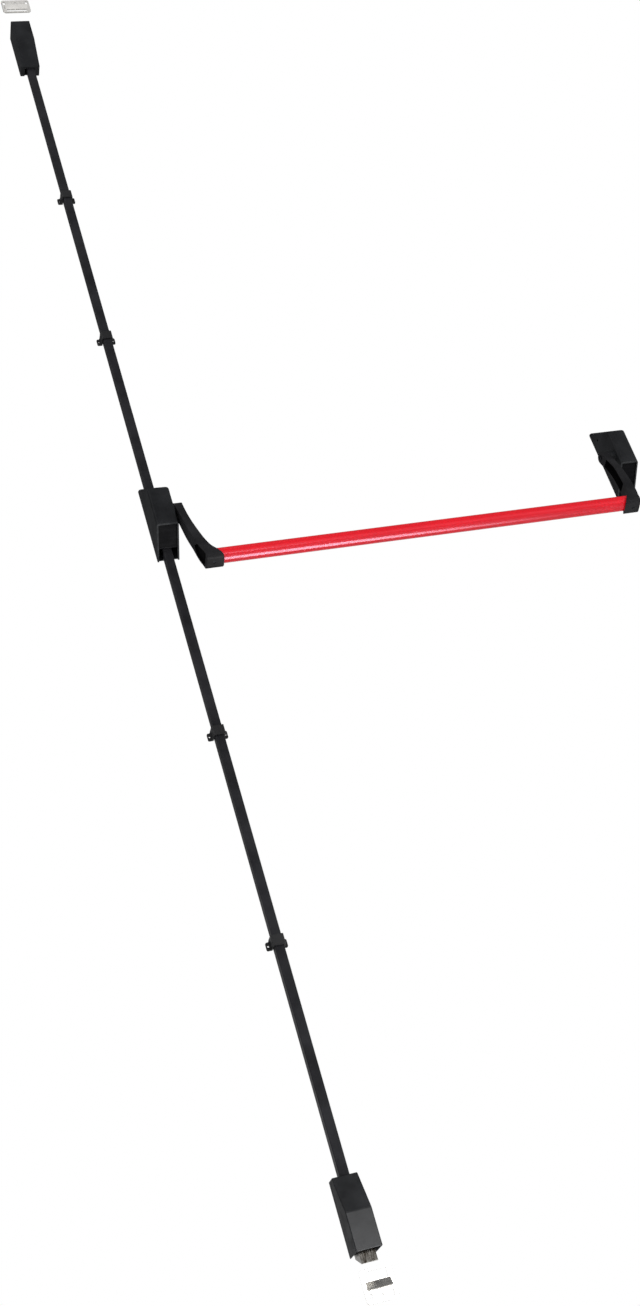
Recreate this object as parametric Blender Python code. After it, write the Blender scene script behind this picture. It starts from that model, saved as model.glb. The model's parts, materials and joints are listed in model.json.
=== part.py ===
"""Vertical rod exit device: a push bar on two arms that draws a top and a bottom bolt.

Run in Blender in the background. Metres, +Z up. X runs along the push bar, Y points into the
door, and the door's face is the plane Y = 0. Z = 0 is the height of the arms' pivot axis.
"""
import math

import bmesh
import bpy
from mathutils import Vector, geometry

MM = 0.001

# Driving sizes
FIT = 0.3 * MM                    # air between two pieces that touch in the real device
RUN = 0.4 * MM                    # air round a piece that slides or turns

# door and overall layout
BEARING_SPACING = 922 * MM        # rod axis to the same place on the mirrored bar bearing
GUIDE_HEIGHTS = (828 * MM, 445 * MM, -443 * MM, -828 * MM)

# covers of the two bar cases; X is measured from the rod axis, or its mirror image
CASE_DEPTH = 66 * MM
PIVOT_INSET = 17 * MM             # pivot axis behind the front of the cases
CASE_WALL = 3 * MM
CASE_CORNER = 4.2 * MM            # radius of the upright front corners
ROD_CASE_TOP_ROUND = 7 * MM       # between the roof and the side walls
END_CASE_TOP_ROUND = 8 * MM
CASE_FRONT_ROUND = 4 * MM         # between the roof and the front
BOSS_RADIUS = 10.8 * MM
ROD_CASE_LEFT = -18.6 * MM
ROD_CASE_RIGHT = 21.9 * MM        # wall on the bar's side
ROD_CASE_TOP = 87.5 * MM          # back edge of the roof
ROD_CASE_FRONT_TOP = 39 * MM
ROD_CASE_FRONT_LOW = -40 * MM     # where the lower end is mitred
ROD_CASE_LOW = -77 * MM
END_CASE_LEFT = -25.5 * MM
END_CASE_RIGHT = 11.5 * MM
END_CASE_TOP = 97 * MM
END_CASE_FRONT_TOP = 49 * MM
END_CASE_FRONT_LOW = -28 * MM
END_CASE_LOW = -68 * MM
COVER_SCREW_Y = -21 * MM
COVER_SCREW_Z = 63 * MM
COVER_SCREW = 2.0 * MM            # radius
SHIELD_LIFT = 3.2 * MM            # from the cover's rim to the plate that closes it
SHIELD_THICK = 1.5 * MM

# latches
LATCH_TOP = 1330 * MM             # outer end of the top latch
LATCH_BOTTOM = -1317 * MM         # outer end of the bottom latch
TOP_LATCH_LENGTH = 121 * MM
BOTTOM_LATCH_LENGTH = 113 * MM
LATCH_LEFT = -21.7 * MM
LATCH_RIGHT = 19 * MM
LATCH_DEPTH = 46 * MM             # over the bolt
TOP_LATCH_THIN = 26 * MM          # where the rod goes in
BOTTOM_LATCH_THIN = 22.5 * MM
LATCH_STRAIGHT = 56 * MM          # length of the deep part
LATCH_WALL = 2.0 * MM
LATCH_CORNER = 1.6 * MM
LATCH_SCREW_Y = -9 * MM
LATCH_SCREW_Z = 62 * MM           # from the outer end
LATCH_SCREW = 1.8 * MM            # radius

# chassis plates
PLATE = 2.5 * MM                  # base of the bar chassis
CHEEK = 2.0 * MM
LATCH_PLATE = 2.2 * MM
DOOR_HOLE = 2.8 * MM              # radius of the holes for the door screws

# rods
ROD = 16 * MM                     # square section
ROD_WALL = 1.5 * MM
ROD_BACK = 3 * MM                 # air between rod and door
TENON_LENGTH = 20 * MM
ROD_PIN = 1.9 * MM                # radius of the cross pins
UPPER_ROD_LOW = 52 * MM
LOWER_ROD_TOP = -56 * MM

# bolts
BOLT_WIDTH = 25 * MM
BOLT_OFFSET = -2.5 * MM           # bolt's centre from the rod's axis
BOLT_FRONT = -32 * MM
BOLT_BACK = -2.8 * MM
BOLT_THROW = 16.5 * MM            # how far the tip stands out of the case
BOLT_BODY = 34 * MM               # how far the bolt reaches back into the case
BOLT_BEVEL = math.radians(24)

# drive
AXLE_RADIUS = 5 * MM
LEVER_PIN_Y = -12 * MM
SWING = 0.4                       # radians that the bar swings
LEVER_PIN = 2.5 * MM
LEVER_THICK = 6 * MM
PINION_PITCH = 6 * MM             # pitch radius
PINION_TEETH = 12
PINION_Z = -20 * MM
PINION_POST = 2.4 * MM
TAIL_BACK = -5.2 * MM             # rear face of tails and pinion
TAIL_THICK = 4 * MM
TAIL_OUT = 12.5 * MM              # outer edge of the tails
SPRING_WIRE = 0.8 * MM            # radius
SPRING_LENGTH = 9.5 * MM

# push bar and arms
BAR_RADIUS = 14 * MM
BAR_WALL = 1.5 * MM
BAR_Y = -98 * MM
BAR_Z = -144 * MM
ARM_X = 25 * MM                   # outer face of the arm at the pivot
ARM_ROOT_RADIUS = 10.5 * MM
ARM_END_WALL = 2.5 * MM           # round the bar at the arm's end
ARM_END_CORNER = 9 * MM
ARM_BACK = 9.5 * MM               # middle of the arm, behind the line from pivot to bar
ARM_FRONT = 15.3 * MM             # and in front of it
ARM_EDGE = 1.1 * MM
SOCKET_WALL = 5 * MM              # arm's outer face to the floor of the bar's socket
GRUB = 2.4 * MM                   # radius of the bar's grub screws
GRUB_IN = 9 * MM                  # from the mouth of the socket
ARM_SCREW_HEAD = 4.6 * MM
# share of the arm's length, how far its outer face has moved out, its width
ARM_STATIONS = ((0.00, 0.0, 14.5), (0.33, 0.8, 13.5), (0.56, 2.2, 16.0), (0.79, 6.0, 18.0),
                (0.92, 9.5, 20.0), (1.00, 12.5, 24.5), (1.11, 14.5, 31.0))

# guides and strikes
GUIDE_WIDTH = 35.5 * MM
GUIDE_TAB_HEIGHT = 14 * MM
GUIDE_SHOULDER = 4 * MM           # how far the saddle stands above the tabs
GUIDE_TAB = 3 * MM
GUIDE_WALL = 2.4 * MM
STRIKE_THICK = 3 * MM
STRIKE_RAMP_OUT = 8 * MM          # how far the ramp stands forward
STRIKE_RIM = 3.2 * MM             # beyond the window
BOTTOM_STRIKE_X = 9.5 * MM
BOTTOM_STRIKE_GAP = 19.5 * MM     # from the bottom latch's end to the plate
BOTTOM_STRIKE_WIDTH = 49 * MM
BOTTOM_STRIKE_FLANGE = 19 * MM
BOTTOM_STRIKE_RAMP = 12.5 * MM    # height of the ramp between flange and window
BOTTOM_STRIKE_WINDOW = 34 * MM
BOTTOM_STRIKE_OPEN = 14 * MM
BOTTOM_STRIKE_SLOTS = 33 * MM
TOP_STRIKE_X = 10.5 * MM
TOP_STRIKE_GAP = 84 * MM          # from the top latch's end to the plate
TOP_STRIKE_WIDTH = 61 * MM
TOP_STRIKE_FLANGE = 19.5 * MM
TOP_STRIKE_RAMP = 10 * MM
TOP_STRIKE_WINDOW = 46 * MM
TOP_STRIKE_OPEN = 6.5 * MM
TOP_STRIKE_SLOTS = 49.5 * MM

ROD_Y = -(ROD_BACK + ROD / 2)
PIVOT_Y = PIVOT_INSET - CASE_DEPTH
BOTTOM_STRIKE_Z = LATCH_BOTTOM - BOTTOM_STRIKE_GAP
TOP_STRIKE_Z = LATCH_TOP + TOP_STRIKE_GAP
LEVER_RADIUS = LEVER_PIN_Y - PIVOT_Y
STROKE = LEVER_RADIUS * math.sin(SWING)           # travel of each bolt
ARM_END_RADIUS = BAR_RADIUS + ARM_END_WALL
MIRROR_X = BEARING_SPACING / 2

# Scene
for thing in list(bpy.data.objects):
    bpy.data.objects.remove(thing, do_unlink=True)


def material(name, colour, metallic, roughness):
    made = bpy.data.materials.new(name)
    made.use_nodes = True
    shader = made.node_tree.nodes["Principled BSDF"]
    shader.inputs["Base Color"].default_value = (*colour, 1)
    shader.inputs["Metallic"].default_value = metallic
    shader.inputs["Roughness"].default_value = roughness
    return made


BLACK_PAINT = ("black powder coat", (0.022, 0.023, 0.026), 0.0, 0.45)
BLACK_ROD = ("black painted steel", (0.030, 0.030, 0.034), 0.0, 0.40)
BLACK_ARM = ("black painted casting", (0.026, 0.027, 0.030), 0.0, 0.42)
BLACK_PLASTIC = ("black nylon", (0.020, 0.020, 0.022), 0.0, 0.5)
RED_PAINT = ("red enamel", (0.78, 0.028, 0.036), 0.0, 0.18)
NICKEL = ("nickel plate", (0.66, 0.63, 0.58), 1.0, 0.22)
DARK_ZINC = ("black zinc plate", (0.05, 0.05, 0.055), 0.8, 0.42)
ZINC = ("zinc plate", (0.72, 0.73, 0.74), 1.0, 0.34)
STEEL = ("bright steel", (0.60, 0.61, 0.62), 1.0, 0.30)
SPRING = ("spring steel", (0.46, 0.46, 0.48), 1.0, 0.35)
DARK_STEEL = ("black oxide steel", (0.05, 0.05, 0.055), 0.7, 0.40)


def empty(name, where):
    made = bpy.data.objects.new(name, None)
    made.empty_display_size = 0.02
    made.location = where
    bpy.context.scene.collection.objects.link(made)
    return made


def put(name, body, look, parent=None, sharp=35):
    """Turns a bmesh in world coordinates into an object, with its origin on the parent."""
    origin = parent.location if parent else Vector((0, 0, 0))
    bmesh.ops.translate(body, verts=body.verts, vec=-origin)
    bmesh.ops.recalc_face_normals(body, faces=body.faces)
    mesh = bpy.data.meshes.new(name)
    body.to_mesh(mesh)
    body.free()
    mesh.shade_smooth()
    mesh.set_sharp_from_angle(angle=math.radians(sharp))
    made = bpy.data.objects.new(name, mesh)
    mesh.materials.append(material(name + " " + look[0], *look[1:]))
    bpy.context.scene.collection.objects.link(made)
    if parent:
        made.parent = parent
    return made


# Solids
def to_world(axis, u, v, along):
    """A point of an outline (u, v) on the plane across the axis."""
    if axis == "X":
        return Vector((along, u, v))
    if axis == "Y":
        return Vector((u, along, v))
    return Vector((u, v, along))


def prism(outline, axis, low, high, holes=()):
    """Extrudes an outline with holes. Outlines are (y, z), (x, z) or (x, y) pairs."""
    body = bmesh.new()
    loops = [list(outline)] + [list(hole) for hole in holes]
    ends = []
    for along in (low, high):
        ends.append([[body.verts.new(to_world(axis, u, v, along)) for u, v in loop] for loop in loops])
    if holes:
        flat = [[Vector((u, v, 0)) for u, v in loop] for loop in loops]
        triangles = geometry.tessellate_polygon(flat)
        for end in ends:
            verts = [vert for loop in end for vert in loop]
            for a, b, c in triangles:
                body.faces.new((verts[a], verts[b], verts[c]))
    else:
        for end in ends:
            body.faces.new(end[0])
    for near, far in zip(*ends):
        for i in range(len(near)):
            j = (i + 1) % len(near)
            body.faces.new((near[i], near[j], far[j], far[i]))
    bmesh.ops.recalc_face_normals(body, faces=body.faces)
    return body


def circle(u, v, radius, sides=28, start=0.0):
    return [(u + radius * math.cos(start + math.tau * k / sides),
             v + radius * math.sin(start + math.tau * k / sides)) for k in range(sides)]


def rectangle(u0, u1, v0, v1):
    return [(u0, v0), (u1, v0), (u1, v1), (u0, v1)]


def rounded(points, radii, steps=5):
    """Rounds the corners of a polygon; a radius of 0 keeps the corner."""
    out = []
    count = len(points)
    for i, (corner, radius) in enumerate(zip(points, radii)):
        here = Vector(corner)
        if radius <= 0:
            out.append((here.x, here.y))
            continue
        to_prev = (Vector(points[i - 1]) - here).normalized()
        to_next = (Vector(points[(i + 1) % count]) - here).normalized()
        half = math.acos(max(-1.0, min(1.0, to_prev.dot(to_next)))) / 2
        centre = here + (to_prev + to_next).normalized() * (radius / math.sin(half))
        first = here + to_prev * (radius / math.tan(half)) - centre
        last = here + to_next * (radius / math.tan(half)) - centre
        turn = first.angle_signed(last)
        for k in range(steps + 1):
            angle = -turn * k / steps
            spoke = Vector((first.x * math.cos(angle) - first.y * math.sin(angle),
                            first.x * math.sin(angle) + first.y * math.cos(angle)))
            out.append((centre.x + spoke.x, centre.y + spoke.y))
    return out


def cylinder(axis, u, v, radius, low, high, sides=28, start=0.0):
    return prism(circle(u, v, radius, sides, start), axis, low, high)


def tube(axis, u, v, outer, inner, low, high, sides=32):
    return prism(circle(u, v, outer, sides), axis, low, high, [circle(u, v, inner, sides)])


def cut_plane(body, point, normal):
    """Removes what lies on the normal's side of a plane and closes the cut."""
    result = bmesh.ops.bisect_plane(body, geom=body.verts[:] + body.edges[:] + body.faces[:],
                                    plane_co=point, plane_no=normal, clear_outer=True, dist=1e-7)
    edges = [e for e in result["geom_cut"] if isinstance(e, bmesh.types.BMEdge)]
    bmesh.ops.holes_fill(body, edges=edges, sides=0)
    bmesh.ops.recalc_face_normals(body, faces=body.faces)
    return body


def combine(body, other, operation):
    """Exact Boolean of two closed bodies; both are used up."""
    objects = []
    for part in (body, other):
        bmesh.ops.recalc_face_normals(part, faces=part.faces)
        mesh = bpy.data.meshes.new("work")
        part.to_mesh(mesh)
        part.free()
        objects.append(bpy.data.objects.new("work", mesh))
        bpy.context.scene.collection.objects.link(objects[-1])
    modifier = objects[0].modifiers.new("cut", "BOOLEAN")
    modifier.solver = "EXACT"
    modifier.operation = operation
    modifier.object = objects[1]
    graph = bpy.context.evaluated_depsgraph_get()
    mesh = bpy.data.meshes.new_from_object(objects[0].evaluated_get(graph))
    out = bmesh.new()
    out.from_mesh(mesh)
    bmesh.ops.remove_doubles(out, verts=out.verts, dist=1e-6)
    bmesh.ops.dissolve_degenerate(out, edges=out.edges, dist=1e-6)
    for thing in objects:
        data = thing.data
        bpy.data.objects.remove(thing, do_unlink=True)
        bpy.data.meshes.remove(data)
    bpy.data.meshes.remove(mesh)
    return out


def less(body, *others):
    for other in others:
        body = combine(body, other, "DIFFERENCE")
    return body


def plus(body, *others):
    for other in others:
        body = combine(body, other, "UNION")
    return body


def both(body, *others):
    for other in others:
        body = combine(body, other, "INTERSECT")
    return body


def mirror_x(body, about):
    for vert in body.verts:
        vert.co.x = 2 * about - vert.co.x
    bmesh.ops.reverse_faces(body, faces=body.faces)
    return body


def mirror_z(body):
    for vert in body.verts:
        vert.co.z = -vert.co.z
    bmesh.ops.reverse_faces(body, faces=body.faces)
    return body


def coil(axis_y, axis_z, x0, x1, radius, wire, turns, legs, sides=8, per_turn=20):
    """Torsion spring round an axle along X, with a straight leg at each end."""
    points = []
    angle0 = legs[0]
    count = int(turns * per_turn)
    for k in range(count + 1):
        angle = angle0 + math.tau * turns * k / count
        points.append(Vector((x0 + (x1 - x0) * k / count, axis_y + radius * math.cos(angle),
                              axis_z + radius * math.sin(angle))))
    for end, direction, length in ((0, -1, legs[1]), (-1, 1, legs[2])):
        angle = angle0 if end == 0 else angle0 + math.tau * turns
        tangent = Vector((0, -math.sin(angle), math.cos(angle))) * direction
        point = points[end] + tangent * length
        if end == 0:
            points.insert(0, point)
        else:
            points.append(point)
    body = bmesh.new()
    rings = []
    for k, point in enumerate(points):
        before = points[max(k - 1, 0)]
        after = points[min(k + 1, len(points) - 1)]
        along = (after - before).normalized()
        side = along.cross(Vector((1, 0, 0))).normalized()
        up = side.cross(along).normalized()
        rings.append([body.verts.new(point + wire * (side * math.cos(math.tau * s / sides)
                                                     + up * math.sin(math.tau * s / sides)))
                      for s in range(sides)])
    for near, far in zip(rings, rings[1:]):
        for s in range(sides):
            t = (s + 1) % sides
            body.faces.new((near[s], near[t], far[t], far[s]))
    body.faces.new(rings[0])
    body.faces.new(rings[-1])
    return body


def socket_screw(axis, u, v, radius, tip, head, hex_radius, hex_depth, sides=20):
    """Grub screw from tip to head with a hexagon socket in the head end."""
    outward = 1 if head > tip else -1
    body = cylinder(axis, u, v, radius, min(tip, head), max(tip, head), sides)
    floor = head - outward * hex_depth
    over = head + outward * hex_depth
    return less(body, cylinder(axis, u, v, hex_radius, min(floor, over), max(floor, over), 6))


# Bar case covers
class Case:
    """Outline of one bar case, with the bar's side towards +X."""

    def __init__(self, left, right, top, front_top, front_low, low, top_round):
        self.left, self.right, self.top_round = left, right, top_round
        self.top, self.front_top, self.front_low, self.low = top, front_top, front_low, low
        self.inner_left = left + CASE_WALL + RUN       # outer faces of the chassis
        self.inner_right = right - CASE_WALL - RUN
        self.roof = (top - front_top) / CASE_DEPTH
        self.mitre = (front_low - low) / CASE_DEPTH

    def roof_z(self, y, drop=0.0):
        """Height of the sloping roof at a distance y from the door."""
        return self.top + self.roof * y - drop

    def mitre_z(self, y, lift=0.0):
        """Height of the mitred lower end at a distance y from the door."""
        return self.low - self.mitre * y + lift

    def block(self, inset, back, drop, low):
        """Upright block with round front corners and the sloping roof."""
        corner = CASE_CORNER - inset
        left, right, front = self.left + inset, self.right - inset, -CASE_DEPTH + inset
        outline = rounded([(left, back), (left, front), (right, front), (right, back)], [0, corner, corner, 0], 5)
        body = prism(outline, "Z", low, self.top + 30 * MM)
        return cut_plane(body, Vector((0, 0, self.top - drop)), Vector((0, -self.roof, 1)).normalized())

    def arched(self):
        """Outer block whose roof is round over the side walls and over the front."""
        over = 0.05 * MM
        low = self.low - 60 * MM
        left, right, front = self.left - over, self.right + over, -CASE_DEPTH - over
        outline = rounded([(left, low), (right, low), (right, self.top), (left, self.top)],
                          [0, 0, self.top_round, self.top_round], 6)
        arch = prism(outline, "Y", -CASE_DEPTH - 5 * MM, 5 * MM)
        for vert in arch.verts:
            vert.co.z += self.roof * vert.co.y
        back = 5 * MM
        outline = rounded([(back, low), (front, low), (front, self.roof_z(front) + over),
                           (back, self.roof_z(back) + over)], [0, 0, CASE_FRONT_ROUND, 0], 5)
        brow = prism(outline, "X", self.left - 5 * MM, self.right + 5 * MM)
        return both(self.block(0, 0, -2 * MM, self.low - 10 * MM), arch, brow)

    def cut_below(self, body, lift):
        return cut_plane(body, Vector((0, 0, self.low + lift)), Vector((0, -self.mitre, -1)).normalized())

    def cut_above(self, body, lift):
        return cut_plane(body, Vector((0, 0, self.low + lift)), Vector((0, self.mitre, 1)).normalized())


ROD_CASE = Case(ROD_CASE_LEFT, ROD_CASE_RIGHT, ROD_CASE_TOP, ROD_CASE_FRONT_TOP, ROD_CASE_FRONT_LOW, ROD_CASE_LOW,
                ROD_CASE_TOP_ROUND)
END_CASE = Case(END_CASE_LEFT, END_CASE_RIGHT, END_CASE_TOP, END_CASE_FRONT_TOP, END_CASE_FRONT_LOW, END_CASE_LOW,
                END_CASE_TOP_ROUND)


def bar_cover(case, with_rods):
    """Cover of a bar case: open to the door and at its mitred lower end, boss on the bar's side."""
    outer = case.cut_below(case.arched(), 0)
    outer = plus(outer, cylinder("X", PIVOT_Y, 0, BOSS_RADIUS, case.right - 1 * MM, ARM_X - FIT, 36))
    inner = case.block(CASE_WALL, 10 * MM, CASE_WALL / math.cos(math.atan(case.roof)), case.low - 30 * MM)
    outer = less(outer, inner, cylinder("X", PIVOT_Y, 0, AXLE_RADIUS + RUN, 0, 60 * MM, 28),
                 cylinder("X", COVER_SCREW_Y, COVER_SCREW_Z, COVER_SCREW + RUN, 0, 60 * MM, 20))
    if with_rods:
        gap = ROD / 2 + 0.8 * MM
        outer = less(outer, prism(rectangle(-gap, gap, ROD_Y - gap, 10 * MM), "Z", 30 * MM, case.top + 40 * MM))
    return outer


def bar_chassis(case, with_rods):
    """Folded steel chassis: base on the door and two cheeks that carry the axle."""
    left, right = case.inner_left, case.inner_right
    low, high = case.low + 2 * MM, case.top - 7 * MM
    holes = [circle(x, z, DOOR_HOLE, 16) for x in (left + 5.2 * MM, right - 5.2 * MM)
             for z in (high - 8 * MM, low + 29 * MM)]
    if with_rods:
        holes.append(circle(0, PINION_Z, PINION_POST + FIT, 20))
    body = prism(rectangle(left, right, low, high), "Y", -PLATE, 0, holes)
    front = -CASE_DEPTH + CASE_WALL + 4 * MM
    back = -PLATE + 0.5 * MM
    lift = SHIELD_LIFT + SHIELD_THICK + 3 * MM
    drop = CASE_WALL + 2 * MM
    outline = [(back, case.mitre_z(-22 * MM, lift)), (-22 * MM, case.mitre_z(-22 * MM, lift)),
               (front, case.mitre_z(front, lift)), (front, 14 * MM), (-30 * MM, 54 * MM),
               (-28 * MM, case.roof_z(-28 * MM, drop)), (-18 * MM, case.roof_z(-18 * MM, drop)),
               (back, case.roof_z(-18 * MM, drop))]
    outline = rounded(outline, [0, 2 * MM, 3 * MM, 6 * MM, 4 * MM, 2 * MM, 4 * MM, 0], 4)
    axle_hole = circle(PIVOT_Y, 0, AXLE_RADIUS + RUN, 24)
    screw = circle(COVER_SCREW_Y, COVER_SCREW_Z, COVER_SCREW + FIT, 16)
    for low_x, high_x in ((left, left + CHEEK), (right - CHEEK, right)):
        body = plus(body, prism(outline, "X", low_x, high_x, [axle_hole, screw]))
    return body


def shield(case):
    """Sloping plate that closes the mitred lower end a little inside the cover's rim."""
    left, right = case.inner_left, case.inner_right
    front, back = -CASE_DEPTH + CASE_WALL + RUN, ROD_Y - ROD / 2 - 0.8 * MM
    corner = max(CASE_CORNER - CASE_WALL, 0.4 * MM)
    outline = rounded([(left, back), (left, front), (right, front), (right, back)], [0, corner, corner, 0], 4)
    body = prism(outline, "Z", case.low - 20 * MM, 0)
    case.cut_above(body, SHIELD_LIFT + SHIELD_THICK)
    case.cut_below(body, SHIELD_LIFT)
    foot = case.mitre_z(back, SHIELD_LIFT + 0.4 * MM)
    gap = CHEEK + FIT
    lip = prism(rectangle(left + gap, right - gap, back - SHIELD_THICK, back), "Z", foot, foot + 14 * MM)
    return plus(body, lip)


def cover_screw(right):
    head = right - 0.7 * MM
    return socket_screw("X", COVER_SCREW_Y, COVER_SCREW_Z, COVER_SCREW, head - 7 * MM, head, 1.2 * MM, 1.6 * MM)


def return_spring(case):
    """Torsion spring round the axle; its long leg rests on the chassis base beside the tails."""
    start = case.inner_right - CHEEK - RUN - SPRING_WIRE
    radius = AXLE_RADIUS + RUN + SPRING_WIRE
    reach = -PLATE - FIT - PIVOT_Y
    return coil(PIVOT_Y, 0, start, start - SPRING_LENGTH, radius, SPRING_WIRE, 4.5, (math.pi / 2, reach, 7 * MM))


# Latch covers and chassis
class Latch:
    """Sizes of one latch, with its outer end at Z = 0 and the rod coming in from above."""

    def __init__(self, length, thin):
        self.length, self.thin = length, thin


BOTTOM_LATCH = Latch(BOTTOM_LATCH_LENGTH, BOTTOM_LATCH_THIN)
TOP_LATCH = Latch(TOP_LATCH_LENGTH, TOP_LATCH_THIN)


def latch_cover(latch):
    """Cover of a latch: open to the door and at the bolt, an end wall with a notch at the rod."""
    outline = [(0, 0), (-LATCH_DEPTH, 0), (-LATCH_DEPTH, LATCH_STRAIGHT), (-latch.thin, latch.length),
               (0, latch.length)]
    body = prism(outline, "X", LATCH_LEFT, LATCH_RIGHT)
    edges = [e for e in body.edges if len(e.link_faces) == 2
             and abs(e.verts[0].co.x - e.verts[1].co.x) < 1e-6 and max(v.co.y for v in e.verts) < -10 * MM]
    bmesh.ops.bevel(body, geom=edges, offset=LATCH_CORNER, segments=3, profile=0.5, affect="EDGES")
    wall = LATCH_WALL
    slope = (LATCH_DEPTH - latch.thin) / (latch.length - LATCH_STRAIGHT)
    drop = wall * math.hypot(1, slope)
    top = latch.length - wall
    inner = [(10 * MM, -20 * MM), (-LATCH_DEPTH + wall, -20 * MM),
             (-LATCH_DEPTH + wall, LATCH_STRAIGHT - (drop - wall) / slope),
             (-latch.thin + drop - slope * wall, top), (10 * MM, top)]
    body = less(body, prism(inner, "X", LATCH_LEFT + wall, LATCH_RIGHT - wall))
    gap = ROD / 2 + 0.9 * MM
    body = less(body, prism(rectangle(-gap - 4 * MM, gap, ROD_Y - gap, 10 * MM), "Z", top - 5 * MM,
                            latch.length + 10 * MM))
    return less(body, cylinder("X", LATCH_SCREW_Y, LATCH_SCREW_Z, LATCH_SCREW + RUN, 0, 60 * MM, 20))


def latch_chassis(latch):
    """Steel base of a latch with the loop that guides the bolt."""
    left, right = LATCH_LEFT + LATCH_WALL + RUN, LATCH_RIGHT - LATCH_WALL - RUN
    high = latch.length - LATCH_WALL - 1 * MM
    holes = [circle(x, z, DOOR_HOLE, 16) for x in (left + 5 * MM, right - 4.4 * MM)
             for z in (LATCH_SCREW_Z - 18 * MM, high - 32 * MM)]
    body = prism(rectangle(left, right, 3 * MM, high), "Y", -LATCH_PLATE, 0, holes)
    bolt_left = BOLT_OFFSET - BOLT_WIDTH / 2 - RUN
    bolt_right = BOLT_OFFSET + BOLT_WIDTH / 2 + RUN
    front = BOLT_FRONT - RUN
    root = -LATCH_PLATE + 0.5 * MM
    loop = prism(rectangle(bolt_left - 2 * MM, bolt_right + 2 * MM, front - 2 * MM, root), "Z", 6 * MM, 22 * MM)
    loop = less(loop, prism(rectangle(bolt_left, bolt_right, front, 10 * MM), "Z", 0, 40 * MM))
    lug = prism(rounded([(root, LATCH_SCREW_Z - 10 * MM), (-16 * MM, LATCH_SCREW_Z - 10 * MM),
                         (-16 * MM, LATCH_SCREW_Z + 10 * MM), (root, LATCH_SCREW_Z + 10 * MM)],
                        [0, 3 * MM, 3 * MM, 0], 3), "X", right - CHEEK, right,
                [circle(LATCH_SCREW_Y, LATCH_SCREW_Z, LATCH_SCREW + FIT, 16)])
    return plus(body, loop, lug)


def bolt():
    """Bottom bolt in closed position, case end at Z = 0: bevel towards the door, tip in front."""
    drop = (BOLT_BACK - BOLT_FRONT) * math.tan(BOLT_BEVEL)
    outline = [(BOLT_FRONT, -BOLT_THROW), (BOLT_BACK, -BOLT_THROW + drop), (BOLT_BACK, BOLT_BODY),
               (BOLT_FRONT, BOLT_BODY)]
    outline = rounded(outline, [0.8 * MM, 1.0 * MM, 0, 0], 3)
    body = prism(outline, "X", BOLT_OFFSET - BOLT_WIDTH / 2, BOLT_OFFSET + BOLT_WIDTH / 2)
    return less(plus(body, tenon(BOLT_BODY, 1)), pin_hole(BOLT_BODY + TENON_LENGTH / 2))


def tenon(end, way):
    """Square stub that fits in the rod from its end; way is the direction along Z."""
    half = ROD / 2 - ROD_WALL - FIT
    low, high = sorted((end - way * 2 * MM, end + way * TENON_LENGTH))
    return prism(rectangle(-half, half, ROD_Y - half, ROD_Y + half), "Z", low, high)


def pin_hole(height):
    return cylinder("X", ROD_Y, height, ROD_PIN + FIT, -20 * MM, 20 * MM, 16)


def rod(low, high, pin_heights):
    half = ROD / 2
    inside = half - ROD_WALL
    outer = rounded(rectangle(-half, half, ROD_Y - half, ROD_Y + half), [1.2 * MM] * 4, 3)
    body = prism(outer, "Z", low, high, [rectangle(-inside, inside, ROD_Y - inside, ROD_Y + inside)])
    return less(body, *[pin_hole(height) for height in pin_heights])


def pin(height):
    return cylinder("X", ROD_Y, height, ROD_PIN, -ROD / 2 + 0.2 * MM, ROD / 2 - 0.2 * MM, 16)


# Drive
def rack_edge(pitch_x, side, low, high):
    """Points up the toothed edge of a tail; side is +1 when the teeth point to +X."""
    module = 2 * PINION_PITCH / PINION_TEETH
    pitch = math.pi * module
    slack = 0.30 * MM
    points = []
    first = math.ceil((low + 1.2 * module - PINION_Z) / pitch - 0.5)
    last = math.floor((high - 1.2 * module - PINION_Z) / pitch - 0.5)
    root = pitch_x - side * 1.35 * module
    tip = pitch_x + side * (module - slack / 2)
    for k in range(first, last + 1):
        middle = PINION_Z + (k + 0.5) * pitch
        wide, thin = pitch * 0.36, pitch * 0.10
        points += [(root, middle - wide), (tip, middle - thin), (tip, middle + thin), (root, middle + wide)]
    return root, points


def rack_bar(side, z_low, z_high, tooth_low, tooth_high):
    """Flat toothed bar beside the pinion; side is -1 on the left."""
    root, teeth = rack_edge(side * PINION_PITCH, -side, tooth_low, tooth_high)
    outer = side * TAIL_OUT
    outline = [(outer, z_low), (root, z_low)] + teeth + [(root, z_high), (outer, z_high)]
    return prism(outline, "Y", TAIL_BACK - TAIL_THICK, TAIL_BACK)


def tail_block(z_end, way):
    """Block and tenon that join a tail to its rod; way is -1 where the rod is below."""
    front = TAIL_BACK - TAIL_THICK
    low, high = sorted((z_end - way * 0.3 * MM, z_end - way * 6 * MM))
    block = prism(rectangle(*sorted((way * TAIL_OUT, -way * 4.5 * MM)), front - 7 * MM, TAIL_BACK), "Z", low, high)
    return less(plus(block, tenon(z_end, way)), pin_hole(z_end + way * TENON_LENGTH / 2))


def lower_tail():
    """Left rack on the lower rod, with the fork that the lever's pin lifts."""
    front = TAIL_BACK - TAIL_THICK
    bar = rack_bar(-1, LOWER_ROD_TOP + 5 * MM, 8 * MM, PINION_Z - STROKE - 4.5 * MM, PINION_Z + 5.5 * MM)
    fork = prism([(front + 0.5 * MM, -8 * MM), (front + 0.5 * MM, 8 * MM), (front - 11 * MM, 8 * MM),
                  (front - 11 * MM, LEVER_PIN + FIT), (front - 0.01 * MM, LEVER_PIN + FIT),
                  (front - 0.01 * MM, -LEVER_PIN - FIT), (front - 11 * MM, -LEVER_PIN - FIT),
                  (front - 11 * MM, -8 * MM)], "X", -TAIL_OUT, -LEVER_THICK / 2 - 2.6 * MM)
    return plus(bar, fork, tail_block(LOWER_ROD_TOP, -1))


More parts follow.
